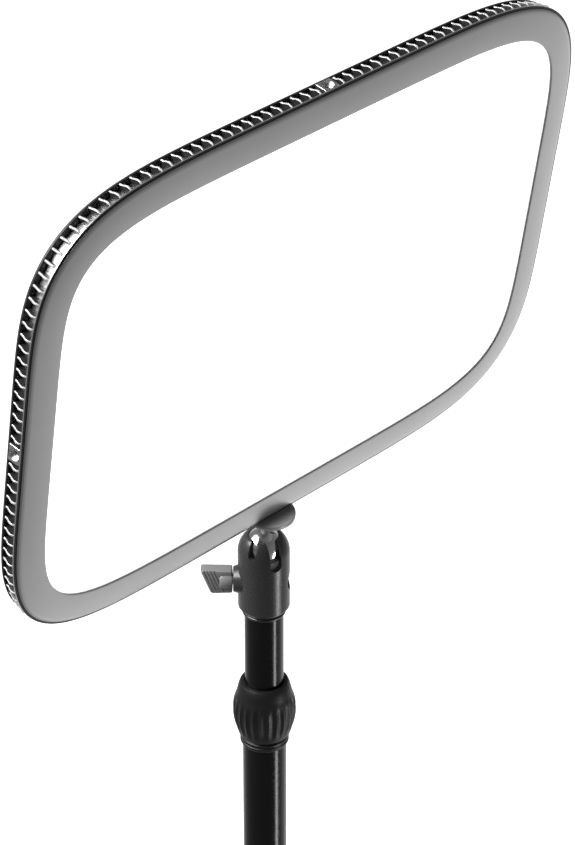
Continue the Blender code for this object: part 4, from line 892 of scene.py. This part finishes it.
def clamp_screw():
    pivot = Vector(JOINTS["screw_turn"]["pos_m"])
    place = Matrix.Translation((pivot.x, pivot.y, 0))
    low, high = local_box("clamp_screw", place)
    radius, pitch = high.x, 2 * MM
    steps = 24
    length = high.z - low.z - 9 * MM
    turns = int(length / pitch)
    bm = bmesh.new()
    rows = []
    for k in range(turns * steps + 1):
        angle = tau * k / steps
        level = high.z - 1 * MM - pitch * k / steps
        ramp = [(radius - 0.8 * MM, level + pitch * 0.48), (radius, level + pitch * 0.12), (radius, level - pitch * 0.12)]
        rows.append([bm.verts.new((r * cos(angle), r * sin(angle), z)) for r, z in ramp])
    for first, second in zip(rows, rows[1:]):
        for a in range(2):
            bm.faces.new((first[a], first[a + 1], second[a + 1], second[a]))
    for k in range(len(rows) - steps - 1):
        bm.faces.new((rows[k][2], rows[k + steps][0], rows[k + 1 + steps][0], rows[k + 1][2]))
    core = turned("screw_core", [(0, high.z), (radius - 1.2 * MM, high.z), (radius - 0.9 * MM, high.z - 0.5 * MM),
                                 (radius - 0.9 * MM, low.z + 8.5 * MM), (radius - 0.3 * MM, low.z + 8 * MM), (radius - 0.3 * MM, low.z),
                                 (0, low.z)], 48)
    bm.from_mesh(core)
    show("spindle", finished(bm, "spindle"), LOOKS["threaded_metal"], "clamp_screw", place)

    low, high = local_box("clamp_knob", place)
    lobes, steps = 6, 144
    bm = bmesh.new()
    loops = []
    top = high.z
    rows = ((12, 0), (12.8, -0.4), (14.6, -3.2), (15.4, -4.4), (16.4, -5.6), (17, -7.4), (17, -18), (16.7, -19.4), (15.6, -21),
            (13.6, -21.8), (11.5, -22), (10.5, -21.4), (6, -21))
    for radius, level in rows:
        loop = []
        depth = 1.5 if radius > 12 else 1.5 * max(0, (radius - 6) / 6)
        for i in range(steps):
            angle = tau * i / steps
            reach = radius - depth * (0.5 + 0.5 * cos(lobes * angle)) ** 1.5
            loop.append(bm.verts.new((reach * cos(angle) * MM, reach * sin(angle) * MM, top + level * MM)))
        loops.append(loop)
    for first, second in zip(loops, loops[1:]):
        bridge(bm, first, second)
    bm.faces.new(loops[0])
    bm.faces.new(loops[-1])
    show("lobed_knob", finished(bm, "lobed_knob"), LOOKS["clamp_knob_black"], "clamp_knob", place)


def pressure_plate():
    pivot = Vector(JOINTS["screw_turn"]["pos_m"])
    place = Matrix.Translation((pivot.x, pivot.y, 0))
    low, high = local_box("pressure_pad", place)
    reach = high.x
    grooves = [(0, high.z)]
    for i in range(1, 6):
        r = reach * i / 6
        grooves += [(r - 0.6 * MM, high.z), (r - 0.4 * MM, high.z - 0.4 * MM), (r + 0.4 * MM, high.z - 0.4 * MM), (r + 0.6 * MM, high.z)]
    profile = grooves + arc((reach - 0.6 * MM, high.z - 0.6 * MM), 0.6 * MM, 90, 0, 5)
    profile += [(reach, low.z + 0.3 * MM), (reach - 0.3 * MM, low.z), (0, low.z)]
    show("jaw_cushion", turned("jaw_cushion", profile, 96), LOOKS["black_rubber"], "pressure_pad", place)
    low, high = local_box("pressure_plate", place)
    reach = high.x
    profile = [(0, high.z), (reach, high.z), (reach, high.z - 1.4 * MM), (reach - 0.6 * MM, high.z - 2.1 * MM),
               (10.5 * MM, high.z - 4.8 * MM), (9 * MM, low.z), (5.4 * MM, low.z), (5.4 * MM, high.z - 2.4 * MM), (0, high.z - 2.4 * MM)]
    show("jaw_plate", turned("jaw_plate", profile, 96), LOOKS["plate_grey"], "pressure_plate", place)


def carried_over():
    """CAD pieces inside the object keep their shape and get their real material."""
    for node, item in frame["nodes"].items():
        if not item.hide_render:
            item.data.materials.clear()
            item.data.materials.append(LOOKS[SLOTS[node]])


# ---- floor, lights and camera ----

CAMERA_AZIMUTH = radians(-46.18)
CAMERA_ELEVATION = radians(32.08)
CAMERA_DISTANCE = 1.7456
CAMERA_ASIDE = 0.00884
CAMERA_BELOW = 0.05761
LENS = 143.2


def camera():
    back = Vector((sin(CAMERA_AZIMUTH) * cos(CAMERA_ELEVATION), -cos(CAMERA_AZIMUTH) * cos(CAMERA_ELEVATION),
                   sin(CAMERA_ELEVATION)))
    right = Vector((cos(CAMERA_AZIMUTH), sin(CAMERA_AZIMUTH), 0))
    up = back.cross(right)
    data = bpy.data.cameras.new("camera")
    data.lens = LENS
    data.sensor_width = 36
    data.clip_end = 50
    item = bpy.data.objects.new("camera", data)
    item.location = PANEL_MIDDLE + back * CAMERA_DISTANCE - right * CAMERA_ASIDE - up * CAMERA_BELOW
    item.rotation_euler = (-back).to_track_quat('-Z', 'Y').to_euler()
    bpy.context.scene.collection.objects.link(item)
    bpy.context.scene.camera = item


def soft_light(name, place, aim, size, power):
    data = bpy.data.lights.new(name, 'AREA')
    data.shape = 'RECTANGLE'
    data.size, data.size_y = size
    data.energy = power
    item = bpy.data.objects.new(name, data)
    item.location = place
    item.rotation_euler = (Vector(aim) - Vector(place)).to_track_quat('-Z', 'Y').to_euler()
    item.visible_camera = False
    bpy.context.scene.collection.objects.link(item)
    return item


def light_only(light, names):
    """Let a light reach only some pieces."""
    reached = bpy.data.collections.new(light.name + "_reach")
    for name in names:
        reached.objects.link(bpy.data.objects[name])
    light.light_linking.receiver_collection = reached


def world_light():
    """A room that is bright low down behind the object's right, and dark in front of it on the left."""
    world = bpy.data.worlds.new("studio")
    bpy.context.scene.world = world
    world.use_nodes = True
    nodes, links = world.node_tree.nodes, world.node_tree.links
    place = nodes.new("ShaderNodeTexCoord")
    dot = nodes.new("ShaderNodeVectorMath")
    dot.operation = 'DOT_PRODUCT'
    dot.inputs[1].default_value = Vector(BRIGHT_SIDE).normalized()
    links.new(place.outputs["Generated"], dot.inputs[0])
    ramp = nodes.new("ShaderNodeValToRGB")
    ramp.color_ramp.interpolation = 'EASE'
    steps = ramp.color_ramp.elements
    steps[0].position, steps[0].color = ROOM[0][0], (*[ROOM[0][1]] * 3, 1)
    steps[1].position, steps[1].color = ROOM[-1][0], (*[ROOM[-1][1]] * 3, 1)
    for position, value in ROOM[1:-1]:
        steps.new(position).color = (*[value] * 3, 1)
    shift = nodes.new("ShaderNodeMapRange")
    shift.inputs["From Min"].default_value = -1
    links.new(dot.outputs["Value"], shift.inputs["Value"])
    links.new(shift.outputs["Result"], ramp.inputs["Fac"])
    links.new(ramp.outputs["Color"], nodes["Background"].inputs["Color"])
    nodes["Background"].inputs["Strength"].default_value = WORLD_LIGHT


def stage():
    scene = bpy.context.scene
    scene.view_settings.view_transform = 'Standard'
    world_light()
    size, level = 30, cad_low.z - 40 * MM
    mesh = bpy.data.meshes.new("floor")
    corners = [(x * size, y * size, level) for x, y in ((-1, -1), (1, -1), (1, 1), (-1, 1))]
    mesh.from_pydata(corners, [], [(0, 1, 2, 3)])
    floor = bpy.data.objects.new("floor", mesh)
    scene.collection.objects.link(floor)
    floor.visible_diffuse = False
    floor.visible_glossy = False
    floor.visible_shadow = False
    make = Nodes("floor_paper")
    make.set(Base_Color=(0.8, 0.8, 0.8, 1), Roughness=0.9, Emission_Color=(1, 1, 1, 1), Emission_Strength=FLOOR_LIGHT)
    mesh.materials.append(make.material)


BRIGHT_SIDE = (0.6, 0.35, -0.7)
ROOM = ((0.0, 0.12), (0.5, 0.17), (0.62, 0.20), (0.72, 0.30), (0.81, 0.48), (0.87, 0.74), (0.93, 1.02), (0.98, 1.12))
WORLD_LIGHT = 1.0
FLOOR_LIGHT = 0.9

camera()
stage()
soft_light("back_light", (-1.25, 0.78, 2.05), (0, 0, 0.7), (1.7, 1.1), 95)

front_bezel()
diffuser()
light_frame()
vent_rim()
socket_blocks()
rear_shell()
rear_screws()
control_pod()
pod_details()
dial("brightness_dial", "brightness_turn")
dial("colour_dial", "colour_turn")
ball_stud()
platform()
head_body()
lock_knob()
head_lip()
tube("upper_tube", "inner_pole_tube", LOOKS["tube_black"])
tube("lower_tube", "outer_pole_tube", LOOKS["tube_black"])
twist_collar()
ferrule()
clamp()
ribbed_pad()
pole_base()
clamp_screw()
pressure_plate()
carried_over()
strip = soft_light("strip_light", (0.56, -1.55, -0.58), (0, 0, 0.45), (0.34, 1.1), 13)
light_only(strip, ("chrome_ball", "platform", "head_barrel", "wing_knob", "lip_ring", "inner_pole_tube",
                   "outer_pole_tube", "ribbed_collar", "ferrule_ring"))
